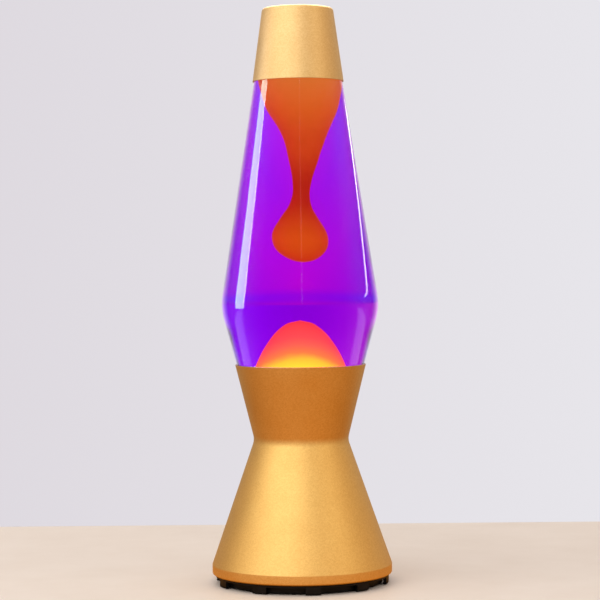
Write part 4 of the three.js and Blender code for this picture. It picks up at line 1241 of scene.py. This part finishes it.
# What the liquid is seen against: painted light, coloured for rays through the liquid. The bottle is a
# lens that swaps left and right, so the left of this list shows at its right side. This painted light is
# redder in the middle and low down, bluer at the sides.
THROUGH_STRENGTH = 2.0
THROUGH_ACROSS = [
    (0.02, (1.0, 0.95, 1.0)),
    (0.12, (0.36, 0.3, 0.9)),
    (0.26, (0.42, 0.55, 0.86)),
    (0.5, (0.95, 0.8, 0.84)),
    (0.74, (0.5, 0.6, 1.0)),
    (0.88, (0.42, 0.35, 1.0)),
    (0.98, (1.0, 0.9, 1.0)),
]
THROUGH_HEIGHTS = (-0.12, 0.2)
THROUGH_UPWARDS = [
    (0.02, (1.0, 1.0, 0.58)),
    (0.14, (0.68, 0.95, 0.62)),
    (0.24, (0.68, 0.85, 0.62)),
    (0.33, (0.86, 0.8, 0.52)),
]
# The same for what is seen under the shoulder, where the look through the bottle goes upwards.
SHOULDER_LOOK = (-0.016, -0.004)
LOWER_ACROSS = [
    (0.02, (1.9, 2.2, 0.85)),
    (0.12, (0.62, 0.75, 0.46)),
    (0.3, (0.58, 0.78, 0.5)),
    (0.5, (0.52, 0.4, 0.5)),
    (0.7, (0.44, 0.42, 0.62)),
    (0.88, (0.4, 0.46, 0.68)),
    (0.98, (0.95, 0.95, 0.85)),
]


def backdrop():
    """Pale behind the lamp, painted coloured light through the liquid, and a dimmer studio for metal and
    soft light.
    """
    world = bpy.data.worlds.new("studio")
    world.use_nodes = True
    scene.world = world
    tree = world.node_tree
    tree.nodes.clear()
    place = node(tree, "TexCoord").outputs["Generated"]
    x, y, z = node(tree, "SeparateXYZ", {"Vector": place}).outputs
    across = ranged(tree, x, 0, 1, -1, 1)

    wall = ramp(tree, ranged(tree, x, 0, 1, -WALL_HALF_WIDTH, WALL_HALF_WIDTH), WALL_ACROSS)
    studio = ramp(tree, ranged(tree, y, 1, 0, -1, 1), STUDIO_TO_FRONT, smooth=True)
    rising = ranged(tree, z, 0.75, 1.25, -0.1, 0.6)
    aside = ranged(tree, x, 0.78, 1.22, -1, 1)
    lighter = computed(tree, "MULTIPLY", rising, aside)

    # Painted light seen through the liquid, by height and across.
    upwards = ramp(tree, ranged(tree, z, 0, 1, *THROUGH_HEIGHTS), THROUGH_UPWARDS)
    both = {"Factor": 1.0, "A": ramp(tree, across, THROUGH_ACROSS), "B": upwards}
    upper = node(tree, "Mix", both, data_type="RGBA", blend_type="MULTIPLY").outputs["Result"]
    share = ranged(tree, z, 0, 1, *SHOULDER_LOOK)
    both = {"Factor": share, "A": upper, "B": ramp(tree, across, LOWER_ACROSS)}
    through = node(tree, "Mix", both, data_type="RGBA").outputs["Result"]
    beyond = ranged(tree, y, 0.7 * THROUGH_STRENGTH, THROUGH_STRENGTH, -0.25, 0.05)

    shown = None
    for ray, colour, strength in (
        (None, studio, lighter),
        ("Is Diffuse Ray", SOFT_LIGHT, 1.0),
        ("Is Singular Ray", ramp(tree, y, MIRRORED_REARWARDS), 1.0),
        ("Is Camera Ray", wall, 1.0),
        ("Is Transmission Ray", through, beyond),
    ):
        light = node(tree, "Background", {"Color": colour, "Strength": strength}).outputs[0]
        shown = mixed(tree, node(tree, "LightPath").outputs[ray], shown, light) if ray else light
    tree.links.new(shown, node(tree, "OutputWorld").inputs["Surface"])


backdrop()

LAMP_MIDDLE = Vector((0, 0, 0.2))


def direction(azimuth, elevation):
    """A way out from the lamp; azimuth 0 is towards the camera and 90 to the right, in degrees."""
    a, e = math.radians(azimuth), math.radians(elevation)
    return Vector((math.sin(a) * math.cos(e), -math.cos(a) * math.cos(e), math.sin(e)))


def panel_light(name, from_way, to_way, distance, width, radiance, colour, lit):
    """A flat light that faces the lamp, as long as the way between its two ends. It lights only the
    objects of one collection, and distance and width are in metres."""
    start, end = (LAMP_MIDDLE + direction(*way) * distance for way in (from_way, to_way))
    light = bpy.data.lights.new(name, "AREA")
    light.shape = "RECTANGLE"
    light.size = width
    light.size_y = (end - start).length
    light.energy = radiance * math.pi * light.size * light.size_y
    light.color = colour
    made = bpy.data.objects.new(name, light)
    scene.collection.objects.link(made)
    made.location = (start + end) / 2
    back = (made.location - LAMP_MIDDLE).normalized()
    up = (end - start - back * back.dot(end - start)).normalized()
    made.rotation_euler = Matrix((up.cross(back), up, back)).transposed().to_euler()
    made.visible_camera = False
    made.visible_transmission = False
    made.light_linking.receiver_collection = lit


# The bottle doesn't mirror the soft lights, and only the bottle mirrors the tall narrow windows.
not_glass = bpy.data.collections.new("not_glass")
only_glass = bpy.data.collections.new("only_glass")
only_cap = bpy.data.collections.new("only_cap")
for shiny in (bottle_glass, tinted_liquid):
    not_glass.objects.link(shiny)
only_glass.objects.link(bottle_glass)
only_cap.objects.link(top_cap)
for member in not_glass.collection_objects:
    member.light_linking.link_state = "EXCLUDE"

panel_light("key", (-30, 8), (-30, 66), 2.2, 2.4, 1.08, (1.0, 1.0, 0.98), not_glass)
panel_light("left", (-78, 6), (-78, 50), 2.2, 1.3, 0.88, (1.0, 0.98, 0.90), not_glass)
panel_light("fill", (58, 6), (58, 44), 2.4, 1.2, 0.55, (1.0, 0.88, 0.66), not_glass)
panel_light("side", (-100, 0), (-100, 20), 2.0, 0.9, 1.9, (0.9, 1.0, 1.3), only_cap)
panel_light("above", (180, 35), (180, 80), 2.0, 1.8, 4.0, (1.0, 1.0, 1.0), only_cap)
WINDOW_DISTANCE = 1.5
for name, from_way, to_way, width, radiance, colour in (
    ("window_left", (-98.5, -5), (-98.5, 30), 0.48, 7.0, (0.74, 1.26, 1.1)),
    ("window_left_edge", (-89, -5), (-89, 30), 0.035, 12.0, (1.0, 1.0, 0.9)),
    ("window_right", (108, 6), (156, 13.5), 0.035, 6.5, (0.95, 0.95, 0.95)),
    ("window_front", (3, -2), (3, 30), 0.012, 3.0, (1.0, 0.95, 0.9)),
):
    panel_light(name, from_way, to_way, WINDOW_DISTANCE, width, radiance, colour, only_glass)

CAMERA_PLACE = (0, -1.508, 0.242)
LENS = 120.7
PITCH_DOWN = 1.143
ROLL = -0.5
camera_data = bpy.data.cameras.new("camera")
camera_data.sensor_width = 36
camera_data.lens = LENS
camera = bpy.data.objects.new("camera", camera_data)
scene.collection.objects.link(camera)
camera.location = CAMERA_PLACE
pitch = Matrix.Rotation(math.radians(90 - PITCH_DOWN), 3, "X")
roll = Matrix.Rotation(math.radians(ROLL), 3, "Z")
camera.rotation_euler = (pitch @ roll).to_euler()
scene.camera = camera
